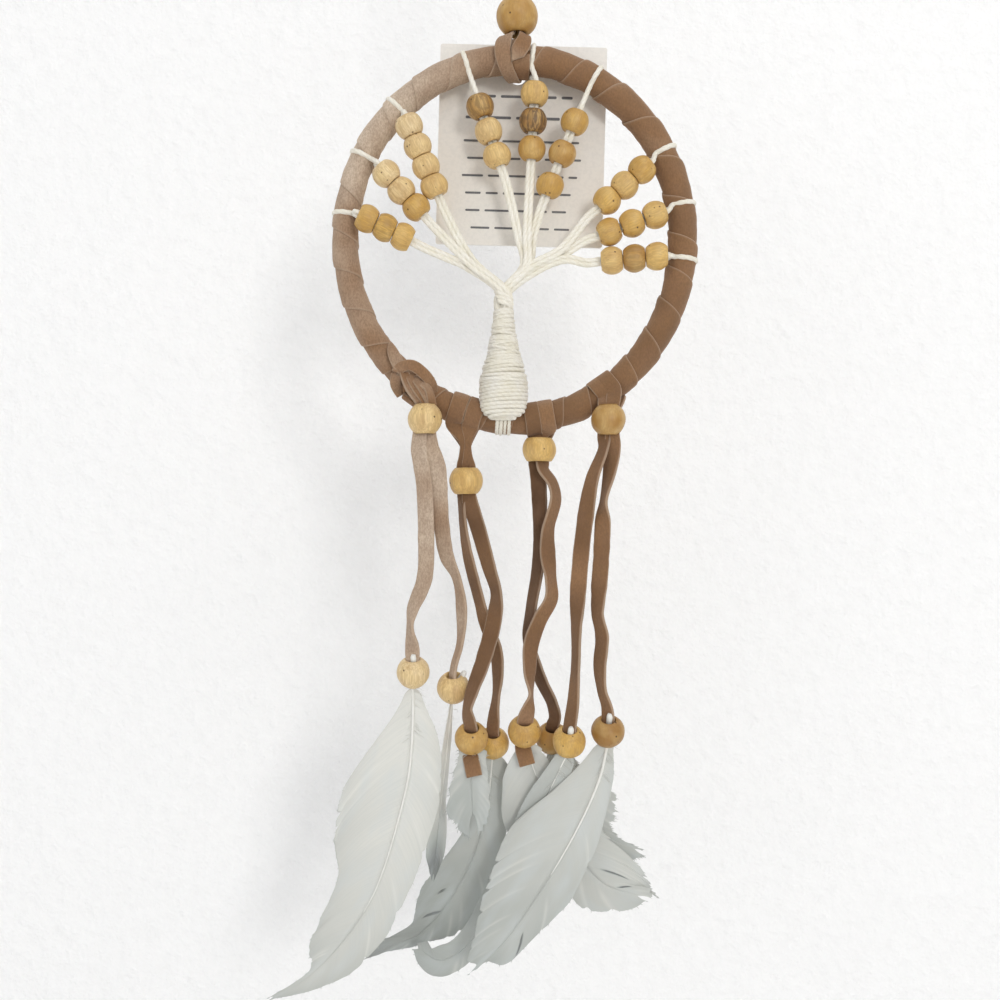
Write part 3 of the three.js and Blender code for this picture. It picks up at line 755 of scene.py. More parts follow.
TRUNK_OUTLINE = [  # height, half-width, depth of the middle, half-depth
    (-21.4, 2.6, -2.5, 2.6), (-26, 2.85, -2.5, 2.8),
    (-33.5, 4.3, -2.5, 4.2), (-41.5, 6.4, -2.5, 6.2), (-46, 6.7, -2.9, 6.2),
    (-49, 6.4, -4.6, 4.0), (-51.2, 5.4, -6.0, 2.2), (-52.8, 3.3, -6.4, 1.3)]
WINDING_RADIUS = 0.7
WINDING_LAY = 3.6
WINDING_TURNS = 30
LOOSE_TURNS = 17  # laid over the winding
FOOT_RADIUS = 4.05  # the foot's cords, around the wrapped hoop
FOOT_PLACES = (-1.75, -0.6, 0.6, 1.75)
FOOT_DEGREES = 1.14  # of the hoop, in a millimetre


def on_trunk(angle, height, out, puff=1.0):
    """A line about the trunk at these angles and heights, so far out from its surface."""
    outline = smooth_path(TRUNK_OUTLINE, 0.1)
    outline = outline[np.argsort(outline[:, 0])].T
    wide, middle, deep = (np.interp(height, outline[0], column) for column in outline[1:])
    return np.stack([TRUNK_X + (wide * puff + out) * np.cos(angle),
                     middle - (deep * puff + out) * np.sin(angle), height], axis=1)


def add_winding():
    shape = Shape()
    q = np.linspace(0, 1, WINDING_TURNS * 44)
    turns = q * WINDING_TURNS
    lift = wobble(turns * 0.37, 4.4)
    angle = turns * 2 * np.pi
    crooked = smoothed(wobble(np.round(turns) * 1.7, 8.8), 16)
    height = np.interp(q, [0, 1], [TRUNK_OUTLINE[0][0], TRUNK_OUTLINE[-1][0]])
    line = on_trunk(angle, height, -0.2, puff=1 + 0.03 * wobble(turns * 0.8, 1.9))
    line[:, 2] += (0.45 + 0.6 * crooked) * np.sin(angle + 0.7 + lift) + 0.45 * lift
    strand(shape, smooth_path(line, 0.32), WINDING_RADIUS, WINDING_LAY, plies=2, corners=10)
    rng = np.random.default_rng(21)
    for number in range(LOOSE_TURNS):
        level, slope = rng.uniform(-46, -25), rng.uniform(-1, 1) * 3.0
        angle = np.linspace(-0.4, math.pi + 0.4, 40)  # both ends are tucked in
        tucked = (angle < 0) | (angle > math.pi)
        over = 0.12 + 0.35 * np.sin(np.clip(angle, 0, math.pi)) - 0.5 * tucked
        loose = on_trunk(angle, level + slope * (angle / math.pi - 0.5), over)
        strand(shape, smooth_path(loose, 0.4), 0.8 * WINDING_RADIUS, WINDING_LAY, plies=2,
               corners=10, turn=number)
    winding = shape.object("trunk_cord_winding", COTTON)
    finish_piece(winding, "hoop", ["trunk_winding"])


def add_core():
    shape = Shape()
    path = smooth_path([(TRUNK_X, c, h, w, d) for h, w, c, d in TRUNK_OUTLINE], 0.8)
    section = circle(24)[None] * (path[:, None, 3:] - 0.3)
    # The core carries the cords' painted groove shade evenly, at 0.45
    swept(shape, path[:, :3], np.broadcast_to(RIGHT, (len(path), 3)), section, groove=0.45)
    finish_piece(shape.object("trunk_core", COTTON), "hoop")


def add_foot():
    """The cords that go around the hoop under the trunk."""
    shape = Shape()
    degrees = 270 - math.degrees(math.asin(-TRUNK_X / HOOP_HALF_WIDTH))
    _, outward = hoop_axes(degrees)
    turn = np.radians(np.arange(0, 361, 8))
    rim = np.cos(turn)[:, None] * outward + np.sin(turn)[:, None] * FRONT
    pinch = np.clip(-np.cos(turn), 0, 1) * np.clip(np.sin(turn) + 0.4, 0, 1)
    for i, offset in enumerate(FOOT_PLACES):
        radius = FOOT_RADIUS * (1 + 0.03 * np.sin(i * 2.1))
        around = hoop_point(degrees + offset * FOOT_DEGREES) + radius * rim
        around[:, 0] -= offset * 0.25 * pinch
        strand(shape, smooth_path(around, 0.3), 0.6, 3.4, turn=i)
    finish_piece(shape.object("trunk_foot_cords", COTTON), "hoop")


# ---- card ----------------------------------------------------------------------------

CARD_SIZE = (50.0, 60.0, 0.7)
CARD_CENTRE = (2.3, 6.5, 29.8)
CARD_TURN = 1.5  # degrees clockwise
CARD_HOLE = (-1.6, 20.6)
CARD_HOLE_RADIUS = 2.5
CARD_ROWS = [  # height, bar height, from, to
    (14.6, 0.8, -14, 15), (8.2, 0.8, -17, 15), (1.2, 0.6, -18, 19), (-4.0, 0.6, -17, 18),
    (-9.2, 0.6, -18, 17), (-14.4, 0.6, -17, 18), (-19.6, 0.6, -17, 16),
    (-24.8, 0.6, -15, 15)]


def card_points(flat):
    """Points of the flat card, turned, bent a little and put in place."""
    turn = math.radians(CARD_TURN)
    flat = np.asarray(flat, float)
    x = flat[:, 0] * math.cos(turn) + flat[:, 2] * math.sin(turn)
    z = -flat[:, 0] * math.sin(turn) + flat[:, 2] * math.cos(turn)
    bend = 0.0016 * (flat[:, 2] - 20) ** 2 * (flat[:, 2] < 20)
    return np.stack([x, flat[:, 1] + 0.12 * bend, z], axis=1) + CARD_CENTRE


def rounded_outline(width, height, radius, steps=6):
    points = []
    for corner, (sx, sz) in enumerate(((1, 1), (-1, 1), (-1, -1), (1, -1))):
        for step in range(steps + 1):
            angle = math.radians(90 * corner + 90 * step / steps)
            points.append((sx * (width / 2 - radius) + radius * math.cos(angle),
                           sz * (height / 2 - radius) + radius * math.sin(angle)))
    return np.array(points)


def slab(shape, loops, front, back, place):
    """A flat plate: the first loop is its edge, anticlockwise, and holes are clockwise."""
    flat = np.concatenate(loops)
    triangles = np.array(tessellate_polygon(
        [[Vector((x, z, 0)) for x, z in loop] for loop in loops]))
    count = len(flat)
    points = np.concatenate([
        np.stack([flat[:, 0], np.full(count, depth), flat[:, 1]], axis=1)
        for depth in (front, back)])
    a, b, c = (flat[triangles[:, i]] for i in range(3))
    signed = (b - a)[:, 0] * (c - a)[:, 1] - (b - a)[:, 1] * (c - a)[:, 0]
    triangles[signed < 0] = triangles[signed < 0][:, ::-1]
    quads, start = [], 0
    for loop in loops:
        k = np.arange(len(loop)) + start
        ahead = np.roll(k, -1)
        quads.append(np.stack([k, k + count, ahead + count, ahead], axis=1))
        start += len(loop)
    shape.add(place(points), np.concatenate(quads),
              np.concatenate([triangles, triangles[:, ::-1] + count]))


def add_card():
    width, height, thick = CARD_SIZE
    outline = rounded_outline(width, height, 0.7)
    hole = CARD_HOLE + CARD_HOLE_RADIUS * circle(36)[::-1]
    shape = Shape()
    slab(shape, [outline, hole], -thick / 2, thick / 2, card_points)
    finish_piece(shape.object("card_sheet", CARD, smooth=False), "card", ["card"])
    rng = np.random.default_rng(11)
    bars = Shape()
    for level, tall, start, end in CARD_ROWS:
        x = start + rng.uniform(0, 1.0)
        while x < end - 2:
            long = min(rng.uniform(3.2, 8.5), end - x)
            outline = rounded_outline(long, tall, tall * 0.45, 4) + [x + long / 2, level]
            slab(bars, [outline], -thick / 2 - 0.03, -thick / 2 + 0.05, card_points)
            x += long + 1.5
    finish_piece(bars.object("card_plain_bars", INK, smooth=False), "card")


# ---- hanging lace --------------------------------------------------------------------

# x, y, z, then the direction of the lace's width and its share of the full width
HANGER_ROUTE = [
    (-0.8, -5.9, 50.2, (0.75, 0, -0.66), 0.9),
    (2.2, -6.0, 54.6, (0.8, 0, -0.6), 1.0),
    (3.1, -4.3, 58, (0.9, 0.3, -0.3), 0.8),
    (2.5, -1.2, 60.2, (0.6, 0.8, 0), 0.6),
    (1.9, -0.6, 65.4, (0.2, 1, 0), 0.78),
    (1.9, -0.6, 71, (0.3, 1, 0), 0.8),
    (3.2, -0.4, 80, (0.2, 1, 0), 1.0),
    (6, 0, 98, (-0.5, 1, 0), 1.0),
    (7.2, 0, 118, (-0.2, 1, 0), 1.0),
    (6.6, 0, 131, (0, 1, 0), 1.0),
    (3.8, 0, 137.6, (0, 1, 0), 1.0),
    (0, 0, 139.1, (0, 1, 0), 1.0),
    (-3.8, 0, 137.6, (0, 1, 0), 1.0),
    (-6.6, 0, 131, (0, 1, 0), 1.0),
    (-7.2, 0, 118, (0.2, 1, 0), 1.0),
    (-5, 0, 98, (0.6, 1, 0), 1.0),
    (-1.6, -0.4, 80, (0.2, 1, 0), 1.0),
    (-0.1, -0.6, 71, (-0.3, 1, 0), 0.8),
    (-0.1, -0.6, 65.4, (-0.2, 1, 0), 0.78),
    (-0.8, -1.2, 60.2, (0.6, -0.8, 0), 0.6),
    (-2.5, -4.2, 57.8, (1, -0.3, 0.2), 0.9),
    (-3.4, -5.6, 53.4, (1, 0, 0.1), 1.0),
    (-2.4, -4.6, 49.0, (1, 0, 0.2), 0.85),
    (-0.3, 0, 46.9, (1, 0, 0), 0.75),
    (0.4, 3.6, 48.2, (1, 0, 0), 0.75),
    (0.7, 6.6, 50.4, (1, 0, 0), 0.8),
    (0.9, 8.3, 53.4, (1, 0, 0), 1.0),
    (0.9, 8.3, 58.6, (1, 0, 0), 1.0),
    (0.9, 7, 61.4, (1, 0, 0), 1.0),
]


def rows_of(route):
    """Rows for ribbon() from (x, y, z, side, share)."""
    return np.array([(*place, *unit(side), share) for *place, side, share in route])


def add_hanger():
    shape = Shape()
    line = ribbon(shape, rows_of(HANGER_ROUTE), seed=5.0, shade=0.62, point_ends=True)
    lace = shape.object("hanging_lace", SUEDE)
    frame_point(0.9, 0, 60.4)
    frame_point(0.9, 0, 55.5)
    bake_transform(lace)
    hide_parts("hanger_lace")
    path = to_frame(line)

    turn = Shape()
    add_turn(turn, 87.8, (95, 440), 5.15, 5.6, 0.5)
    finish_piece(turn.object("hanger_turn", SUEDE), "hoop")


def add_turn(shape, degrees, turns, radius, width, shade):
    """A turn of suede around the wrapped hoop, between two angles about its tube."""
    first, last = turns
    along, _ = hoop_axes(degrees)
    turn = np.radians(np.linspace(first, last, int((last - first) / 24) + 1))
    rows = [(*place, *along, 1.0) for place in around_hoop(degrees, radius, turn)]
    ribbon(shape, rows, width, TURN_THICKNESS, seed=degrees, shade=shade, curl=0.2)


# ---- pendants ------------------------------------------------------------------------

# Each tail's points run down from inside the upper bead to inside its end bead. Every
# point has the lace's turn away from facing front, in degrees, and its share of width.
TAILS = {
    "1a": [(-26.7, -6.9, -52, 0, 0.85), (-27.2, -6.9, -58, 0, 0.9), (-27.4, -6.5, -62, 12, 1),
           (-26.1, -5.8, -71.5, 15, 1), (-25.5, -5.1, -86, 10, 1), (-26.1, -4.5, -99.5, 20, 1),
           (-29.6, -3.9, -108.4, 48, 1), (-30.3, -3.3, -113, 66, 0.9), (-29.8, -2.6, -119, 35, 1),
           (-29.5, -2.9, -122.6, 10, 0.85), (-29.5, -2.2, -126, 0, 0.75)],
    "1b": [(-24.9, -6.2, -52, 0, 0.85), (-24.4, -6.1, -58, 0, 0.85), (-24, -6.1, -61, -25, 0.95),
           (-22.2, -5, -67, -15, 1), (-21.2, -4, -83, 15, 1), (-19.6, -3, -93, 30, 1),
           (-16.8, -2, -99.5, 60, 1), (-15.4, -1, -108.7, 50, 1), (-15.9, 0, -118.5, 68, 0.9),
           (-17.6, 0.9, -125, 68, 0.85), (-18, 1.5, -127.9, 60, 0.7), (-18, 2.3, -131.3, 40, 0.7)],
    "2a": [(-14.8, 0.5, -70, 0, 0.85), (-15, 0.6, -75, 30, 0.85), (-15.4, 0.9, -77.5, 62, 0.9),
           (-15, 1.2, -84, 66, 1), (-13, 1.5, -95.5, 52, 1), (-9.6, 1.8, -108.5, 50, 1),
           (-8, 2.1, -114, 40, 1), (-5.4, 2.5, -120.5, 42, 1), (-4.8, 2.8, -128, 50, 1),
           (-5.2, 3.0, -134.5, 66, 0.95), (-6, 3.0, -141, 45, 0.9), (-6.2, 2.8, -144.4, 20, 0.8),
           (-6.2, 3.6, -148, 10, 0.75)],
    "2b": [(-13.4, -0.5, -70, 0, 0.85), (-13.2, -0.6, -75, 10, 0.9), (-12.9, -0.9, -77, 18, 1),
           (-10.2, -1.2, -86, 22, 1), (-7.2, -1.6, -96.5, 38, 1), (-5.2, -2.2, -104, 50, 1),
           (-6, -2.6, -112.2, 15, 1), (-9.1, -2.8, -123.5, 25, 1), (-12.2, -3, -132, 45, 1),
           (-13.6, -3.4, -138, 55, 0.95), (-12.6, -4.4, -141.3, 30, 0.85),
           (-12.4, -3.6, -144.9, 10, 0.8)],
    "3a": [(6.4, 0.5, -61, 0, 0.85), (6.4, 0.6, -65.5, 8, 0.9), (6.9, 0.9, -67.5, 18, 1),
           (7.6, 1.3, -79, 30, 1), (7.6, 1.7, -88, 45, 1), (6.8, 2.1, -98.5, 50, 1),
           (5.1, 2.5, -109, 55, 1), (4.4, 2.9, -118, 48, 1), (8, 3.3, -130, 45, 1),
           (11.4, 3.5, -137, 50, 1), (12.2, 3.6, -141, 40, 0.9), (11.4, 3.6, -143.1, 25, 0.8),
           (11.4, 4.4, -146.7, 10, 0.75)],
    "3b": [(8.4, -0.5, -61, 0, 0.85), (8.4, -0.7, -65.5, -30, 0.9), (8.6, -0.9, -67.5, -50, 1),
           (11.3, -1, -71.5, -52, 1), (12.2, -1.1, -76, -50, 1), (10, -1.2, -85, -42, 1),
           (9.9, -1.2, -92, -20, 1), (10.7, -1.2, -99.5, -48, 1), (10.8, -1.2, -105.5, -35, 1),
           (7.6, -1.3, -111.5, -25, 1), (5, -1.4, -119, -22, 1), (4.6, -1.6, -127, -45, 1),
           (4.9, -1.9, -133.4, -80, 1), (4.2, -2.2, -137.2, -40, 1), (3.2, -2.4, -140.2, -12, 1),
           (3, -1.6, -143.4, 0, 0.8)],
    "4a": [(26.1, -5.8, -52, 0, 0.85), (25.9, -5.9, -58, 30, 0.85), (25.7, -6, -61.5, 55, 0.9),
           (22.4, -5.6, -71, 45, 1), (20, -5.2, -86, 12, 1), (18.6, -5, -101, 10, 1),
           (18, -4.9, -112, 55, 1), (17.8, -4.8, -123, 66, 0.95), (17.2, -4.8, -134, 55, 1),
           (15.9, -5.3, -141.9, 30, 0.85), (15.9, -4.6, -145.6, 10, 0.75)],
    "4b": [(27.9, -6.6, -52, 0, 0.85), (28.2, -6.7, -58, 5, 0.9), (28.4, -6.3, -61.5, 20, 1),
           (27.4, -5.2, -69, 50, 1), (25.9, -4.9, -77, 74, 1), (25.6, -5, -84, 20, 1),
           (25.0, -4.9, -96, 8, 1), (24.4, -4.6, -104, 35, 1), (24.2, -4.2, -109.5, 52, 1),
           (25.5, -3.9, -116, 45, 1), (24.9, -3.7, -125, 50, 1), (25.6, -3.8, -132, 62, 0.95),
           (27, -3.9, -136.8, 50, 0.9), (27.3, -3.1, -143, 10, 0.75)],
}
# Each lace's suede tone: partly its own colour and partly painted light and shade, with the left
# laces painted paler as if lit and 3a and 2b darker as if in shade
TAIL_TONES_AND_PAINTED_LIGHT = {"1a": 0.9, "1b": 0.8, "2a": 0.36, "2b": 0.24, "3a": 0.05, "3b": 0.42,
               "4a": 0.36, "4b": 0.38}


def add_tails():
    for number, (tail, rows) in enumerate(TAILS.items()):
        pendant = int(tail[0])
        rows = np.array(rows, float)
        points = rows[:, :3]
        bead = node_centre(f"end_bead_{tail}")
        bore_mouth = bead[2] + 4.0  # the bead is tilted, so the lace bows forward to it
        near = np.exp(-(((points[:, 2] - bore_mouth) / 3.2) ** 2))
        points[:, 1] -= 4.0 * math.sin(math.radians(END_TILTS[tail])) * near
        shape = Shape()
        line = ribbon(shape, facing(points, rows[:, 3], rows[:, 4]), seed=number * 3.3,
                      shade=TAIL_TONES_AND_PAINTED_LIGHT[tail])
        piece = shape.object(f"lace_tail_{tail}", SUEDE)
        frame_point(*bead + [0, 0, 16])
        frame_point(*bead + [0, 0, 3])
        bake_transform(piece)
        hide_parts(f"lace_{pendant}")
        path = to_frame(line)


def strip(shape, route, width, shade, seed, thickness=TURN_THICKNESS):
    ribbon(shape, rows_of(route), width, thickness, seed=seed, shade=shade, curl=0.2)


def add_knot():
    """What holds lace 1 on the hoop, above its upper bead."""
    knot = Shape()
    for i, (top, bottom) in enumerate(((-31.6, -27.0), (-30.0, -25.6), (-28.2, -24.4),
                                       (-26.4, -23.6))):
        strip(knot, [
            (-26.4 + 0.35 * i, -6.9 + 0.15 * i, -56.2, (1, 0.2, 0), 0.8),
            (bottom, -6.6, -51, (1, 0.3, 0), 0.9),
            (bottom - 0.2, -6.6, -48.6, (1, 0.5, 0), 1.0),
            (top + 1.4, -7.0 + 0.1 * i, -44.4, (1, 0.7, 0.2), 1.0),
            (top, -6.4, -40.6 - 0.9 * i, (1, 0.6, 0.4), 1.0),
            (top - 0.4, -4.6, -38.6 - 1.2 * i, (1, 0.3, 0.3), 0.9)], 2.5, 0.56, i * 2.0, 1.3)
    strip(knot, [
        (-33.2, -1.0, -45.6, (0.6, -0.3, 0.8), 0.9), (-34.4, -4.6, -42.6, (0.5, -0.5, 0.8), 1.0),
        (-33.0, -6.6, -38.6, (0.3, -0.3, 0.9), 1.0), (-29.6, -7.4, -37.8, (0.2, 0, 1), 1.0),
        (-26.0, -6.9, -40.2, (0.5, 0, 0.9), 1.0), (-23.8, -5.2, -43.2, (0.7, 0, 0.7), 0.9),
        (-23.4, -3.2, -46.2, (0.7, 0, 0.6), 0.8)], 3.2, 0.5, 8.0)
    strip(knot, [
        (-31.2, -5.8, -41.0, (0.9, 0, 0.4), 0.8), (-33.6, -6.4, -37.0, (0.85, 0, 0.5), 1.0),
        (-35.4, -5.6, -32.8, (0.8, 0, 0.5), 0.75), (-35.9, -4.2, -31.2, (0.8, 0, 0.5), 0.3)],
        3.6, 0.6, 9.0)
    add_turn(knot, 235.4, (100, 400), 4.9, 4.4, 0.46)
    piece = finish_piece(knot.object("lace_knot_1", SUEDE))
    frame_point(-26.5, -6.2, -44.5)
    frame_point(-26.5, -6.2, -50.0)
    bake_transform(piece)


NECK_X = -14.2  # where lace 2's legs are drawn together
# hoop degrees, each leg's distance from the middle, its radius about the hoop and width,
# the body that it rides, and where the legs start inside the upper bead
HEADS = {
    2: (253.5, 2.5, 4.7, 4.9, "pendant_2", (-14.1, 0.0, -70.9)),
    3: (278.6, 2.1, 4.55, 4.4, "pendant_3", (7.4, 0.0, -61.7)),
    4: (303.0, 1.6, 4.5, 4.4, "hoop", (27.1, -6.2, -53.4)),
}


def head_rows(number, side):
    """One leg of a folded lace: out of its bead, around the hoop and down behind."""
    degrees, gap, radius, _, _, bead = HEADS[number]
    start = np.array(bead) + [side * 0.5, -0.5, 0]
    if number == 4:
        leave, share = [side * 0.6, -0.3, 4.1], 0.9
        turn = np.radians([78, 110, 145, 180, 215, 250, 290, 330, 365])
    else:
        leave, share = [side * 0.2, -0.3, 4.3], 0.85
        turn = np.radians([28, 60, 95, 130, 170, 210, 250, 290, 325])
    along, _ = hoop_axes(degrees)
    rows = [(*start, *RIGHT, 0.8), (*(start + leave), *RIGHT, share)]
    around = [(*place, *along, 1.0)
              for place in around_hoop(degrees, radius, turn) + side * gap * along]
    back = [(*(start + [0, 1.4, 1.5]), *RIGHT, 0.5 if number == 2 else 0.8)]
    if number == 2:  # its legs are drawn together above the bead
        rows += [(NECK_X + side * 0.6, -1.3, -63.5, 1, 0.2, 0, 0.56),
                 (NECK_X + side * 0.7, -1.9, -60.0, 1, 0.1, 0, 0.42),
                 (NECK_X + side - 0.1, -2.3, -58.4, 1, 0.1, 0, 0.56)]
        back.insert(0, (NECK_X + side * 0.4, 1.4, -61.5, 1, 0, 0, 0.4))
    return rows + around + back


def add_heads():
    """What holds the other three laces on the hoop, above their upper beads."""
    for number, (_, _, _, width, body, _) in HEADS.items():
        head = Shape()
        for side in (-1, 1):
            ribbon(head, head_rows(number, side), width, TURN_THICKNESS,
                   seed=number + side * 0.7, shade=0.4 + 0.03 * side, curl=0.15)
        finish_piece(head.object(f"lace_turns_{number}", SUEDE), body)


# ---- feathers ------------------------------------------------------------------------

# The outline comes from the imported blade, along barbs from the shaft. Places along the shaft
# go from 0 to 1, and pairs are left, right as seen from the front.
PLAIN_FEATHER = dict(
    slant=0.0, turn=0.0,  # with tilt, the blade's lean in degrees
    open=46, close=20,  # degrees from the shaft to the barbs, at its foot and near its tip
    begin=(0.8, 0.8), join=(0.1, 0.1),  # reach at the foot, and where the outline takes over
    wide=[(0, 1, 1)], least=[(0, 0, 0)],  # place, then shares of the outline, or reaches
    slits=[],  # slits painted as dark lines of shade: side (1 is left), place, from and to as shares of the reach
    tip_power=1.5,  # tints are the foot, the edge and the tip, 0 pale to 1 dark
    twist=0,  # degrees that the outer half turns; bow and wave bend the barbs back
    wisps=0.25, fringe=1.3,  # loose ends: for each barb, and their greatest length
    behind=False,  # the quill lies behind the vane
    fade=0.6)  # where the quill starts to sink into the vane
FEATHERS = {
    "1a": dict(tilt=-2.4, shaft=[(-29.6, -131), (-29.5, -140), (-30.6, -156), (-33.8, -170),
                                 (-38.2, -184.5), (-42.2, -193.5), (-52, -207), (-62, -216),
                                 (-69.5, -219.8)],
               tints=(0.13, 0.24, 0.34), bow=0.9, wave=0.5, clump=0.08, splits=0.03,
               begin=(2.2, 3.0), join=(0.2, 0.2), wisps=0.1, fringe=0.8),
    "1b": dict(tilt=0.0, slant=6.0, turn=70.0, shaft=[
        (-18, -134), (-18, -150), (-18, -170), (-18, -187.4)],
        tints=(0.12, 0.0, 1.4), tip_power=4.5, bow=0.4, wave=0.3, clump=0.03, splits=0.01,
        twist=-52, wisps=0.05, fringe=0.6,
        least=[(0.7, 0, 0), (0.83, 4.4, 4.4), (0.93, 4.6, 4.6), (1, 1.6, 1.6)]),
    "2a": dict(tilt=8.0, shaft=[(-6.2, -151), (-7.5, -165), (-11.5, -183), (-19, -198),
                                (-29, -210), (-38, -213.8), (-45, -217.3)],
               tints=(0.45, 0.1, 0.32), bow=0.6, wave=0.6, clump=0.06, splits=0.02,
               behind=True,
               wide=[(0, 1.2, 1.5), (0.4, 1.1, 1.4), (0.55, 1.1, 1.2), (0.8, 1.0, 0.7)],
               begin=(4.0, 8.0), join=(0.2, 0.2), wisps=0.1, fringe=0.8,
               slits=[(1, 0.66, 0.05, 0.55), (1, 0.54, 0.3, 0.45)]),
    "2b": dict(tilt=-4.0, shaft=[(-12.4, -148), (-12.5, -158), (-12.0, -167)],
               tints=(0.52, 0.12, 0.1), bow=0.3, wave=0.4, clump=0.18, splits=0.25,
               behind=True, open=72, wide=[(0, 1.5, 1.5)], begin=(3.5, 4.5), join=(0.3, 0.3),
               least=[(0.1, 2, 3), (0.5, 11.0, 9.0), (0.8, 10.0, 8.0), (1, 6.0, 5.5)],
               wisps=1.2, fringe=1.6),
    "3a": dict(tilt=6.0, shaft=[(11.4, -150), (15, -159), (21.5, -170), (29, -178.5),
                                (36.5, -182)],
               tints=(0.34, 0.12, 0.1), bow=0.5, wave=0.7, clump=0.16, splits=0.05,
               behind=True, wide=[(0, 1.15, 1.15), (0.35, 1.1, 0.85), (0.6, 1, 0.3), (1, 1, 0.4)],
               begin=(4.0, 4.0), join=(0.2, 0.2), wisps=0.9, fringe=1.8,
               least=[(0.7, 0, 0), (0.82, 4, 2.2), (0.94, 4, 3.2), (1, 2.5, 2.5)]),
    "3b": dict(tilt=8.0, shaft=[(3, -147), (7, -159), (15, -176), (26, -191), (37, -195.5)],
               tints=(0.32, 0.12, 0.1), bow=0.5, wave=0.7, clump=0.16, splits=0.05,
               behind=True, wide=[(0, 1.15, 1.15)], begin=(8.0, 5.0), join=(0.12, 0.3),
               least=[(0, 13, 0), (0.12, 21, 0), (0.3, 20, 0), (0.45, 11, 0), (0.7, 0, 0)],
               slits=[(-1, 0.7, 0.2, 0.5), (-1, 0.88, 0.1, 0.4)]),
    "4a": dict(tilt=8.0, shaft=[(15.9, -149), (11, -160), (2.5, -178), (-6.5, -196),
                                (-14, -210), (-22, -214.8), (-28.5, -211)],
               tints=(0.5, 0.08, 0.14), bow=0.6, wave=0.6, clump=0.08, splits=0.03,
               behind=True,
               wide=[(0, 1, 1.15), (0.25, 0.55, 1.15), (0.7, 0.3, 1.1), (0.85, 0.5, 1)],
               begin=(4.0, 4.0), join=(0.12, 0.2), wisps=0.15, fringe=0.9,
               close=50,
               least=[(0.66, 0, 0), (0.8, 8, 6), (0.9, 8, 6.5), (0.96, 4.5, 4), (1, 1, 1)]),
    "4b": dict(tilt=-6.0, shaft=[(27.3, -146), (25.5, -155), (21.5, -165), (14.5, -178),
                                 (6, -191), (-3, -203), (-11, -210.5)],
               tints=(0.36, 0.14, 0.24), bow=0.9, wave=0.6, clump=0.08, splits=0.03,
               begin=(3.0, 2.5), join=(0.12, 0.12), wisps=0.12, fringe=0.9, fade=0.42,
               slits=[(-1, 0.74, 0.45, 0.95)]),
}
BARB_GAP = 0.42
BARB_LEAVES = 16  # degrees more open where a barb leaves the shaft
TIP_CLOSES = 11  # degrees more closed at the very tip
MOST_BOW = 3.5
SLIT_PAINTED_SHADE = 2.2
SLIT_DEPTH = 0.5
VANE_THICKNESS = 0.16
DOWN_BARBS = 30
QUILL_STEP = 0.5
QUILL_TIP_RADIUS = 0.1
QUILL_FOOT_RADIUS = 0.52
QUILL_BULGE = 0.42  # at the end that shows above the bead
QUILLS_SHOWING = ("1a", "1b", "4a", "4b")
LACE_ENDS_SHOWING = {"2b": (4.6, 6.6), "3b": (4.7, 5.4)}


class Blade:
    """A feather's own plane: across, towards the back, and up, from its end bead."""

    def __init__(self, name, spec):
        self.centre = node_centre(f"end_bead_{name}")
        lean = (Matrix.Rotation(math.radians(spec["tilt"]), 3, "X")
                @ Matrix.Rotation(math.radians(spec["slant"]), 3, "Y")
                @ Matrix.Rotation(math.radians(spec["turn"]), 3, "Z"))
        self.lean = np.array(lean)
        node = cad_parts[f"feather_{name}"]
        points = np.array([v.co for v in node.data.vertices], float) / MM
        points[:, 2] += HANG_HEIGHT
        local = (points - self.centre) @ self.lean
        self.tree = BVHTree.FromPolygons(
            [tuple(p) for p in local], [tuple(p.vertices) for p in node.data.polygons])

    def out(self, local):
        return self.centre + np.asarray(local) @ self.lean.T

    def reach(self, place, direction):
        hit = self.tree.ray_cast(Vector(place), Vector(direction))
        return hit[3] if hit[0] is not None else 0.0


def add_slivers(shape, blade, curves, widths, tints, lift=0.02):
    """Closed three-sided slivers: curves is (slivers, steps, 3) in the blade's own plane."""
    count, steps = curves.shape[:2]
    back = np.array([0.0, 1.0, 0.0])
    aside = unit(np.cross(unit(np.gradient(curves, axis=1)), back)) * widths[..., None] / 2
    rings = np.stack([curves - aside + back * lift, curves + aside + back * (lift * 0.2),
                      curves - back * lift], axis=2)
    index = np.arange(count * steps * 3).reshape(count, steps, 3)
    quads = [np.stack([index[:, :-1, k], index[:, 1:, k], index[:, 1:, m], index[:, :-1, m]],
                      axis=-1).reshape(-1, 4) for k, m in ((0, 1), (1, 2), (2, 0))]
    shape.add(blade.out(rings.reshape(-1, 3)), np.concatenate(quads),
              np.concatenate([index[:, 0], index[:, -1, ::-1]]),
              tint=np.broadcast_to(tints[..., None], rings.shape[:3]).ravel(),
              web_at=(0.0, 0.0, 0.0))


def add_web(shape, blade, curves, tints, web_at):
    """One closed thin sheet through all the barbs of a side: curves is (barbs, steps, 3)."""
    count, steps = curves.shape[:2]
    half = np.array([0, VANE_THICKNESS / 2, 0])
    points = np.stack([curves - half, curves + half])
    index = np.arange(2 * count * steps).reshape(2, count, steps)
    front, back = index
    quads = []
    for layer in (front, back[:, ::-1]):
        quads.append(np.stack([layer[:-1, :-1], layer[1:, :-1], layer[1:, 1:],
                               layer[:-1, 1:]], axis=-1).reshape(-1, 4))
    rim_front = np.concatenate([front[:-1, 0], front[-1, :-1], front[:0:-1, -1], front[0, :0:-1]])
    rim_back = np.concatenate([back[:-1, 0], back[-1, :-1], back[:0:-1, -1], back[0, :0:-1]])
    quads.append(np.stack([rim_front, rim_back, np.roll(rim_back, -1),
                           np.roll(rim_front, -1)], axis=-1))
    shape.add(blade.out(points.reshape(-1, 3)), np.concatenate(quads),
              tint=np.tile(tints.ravel(), 2), web_at=np.tile(web_at.reshape(-1, 3), (2, 1)))


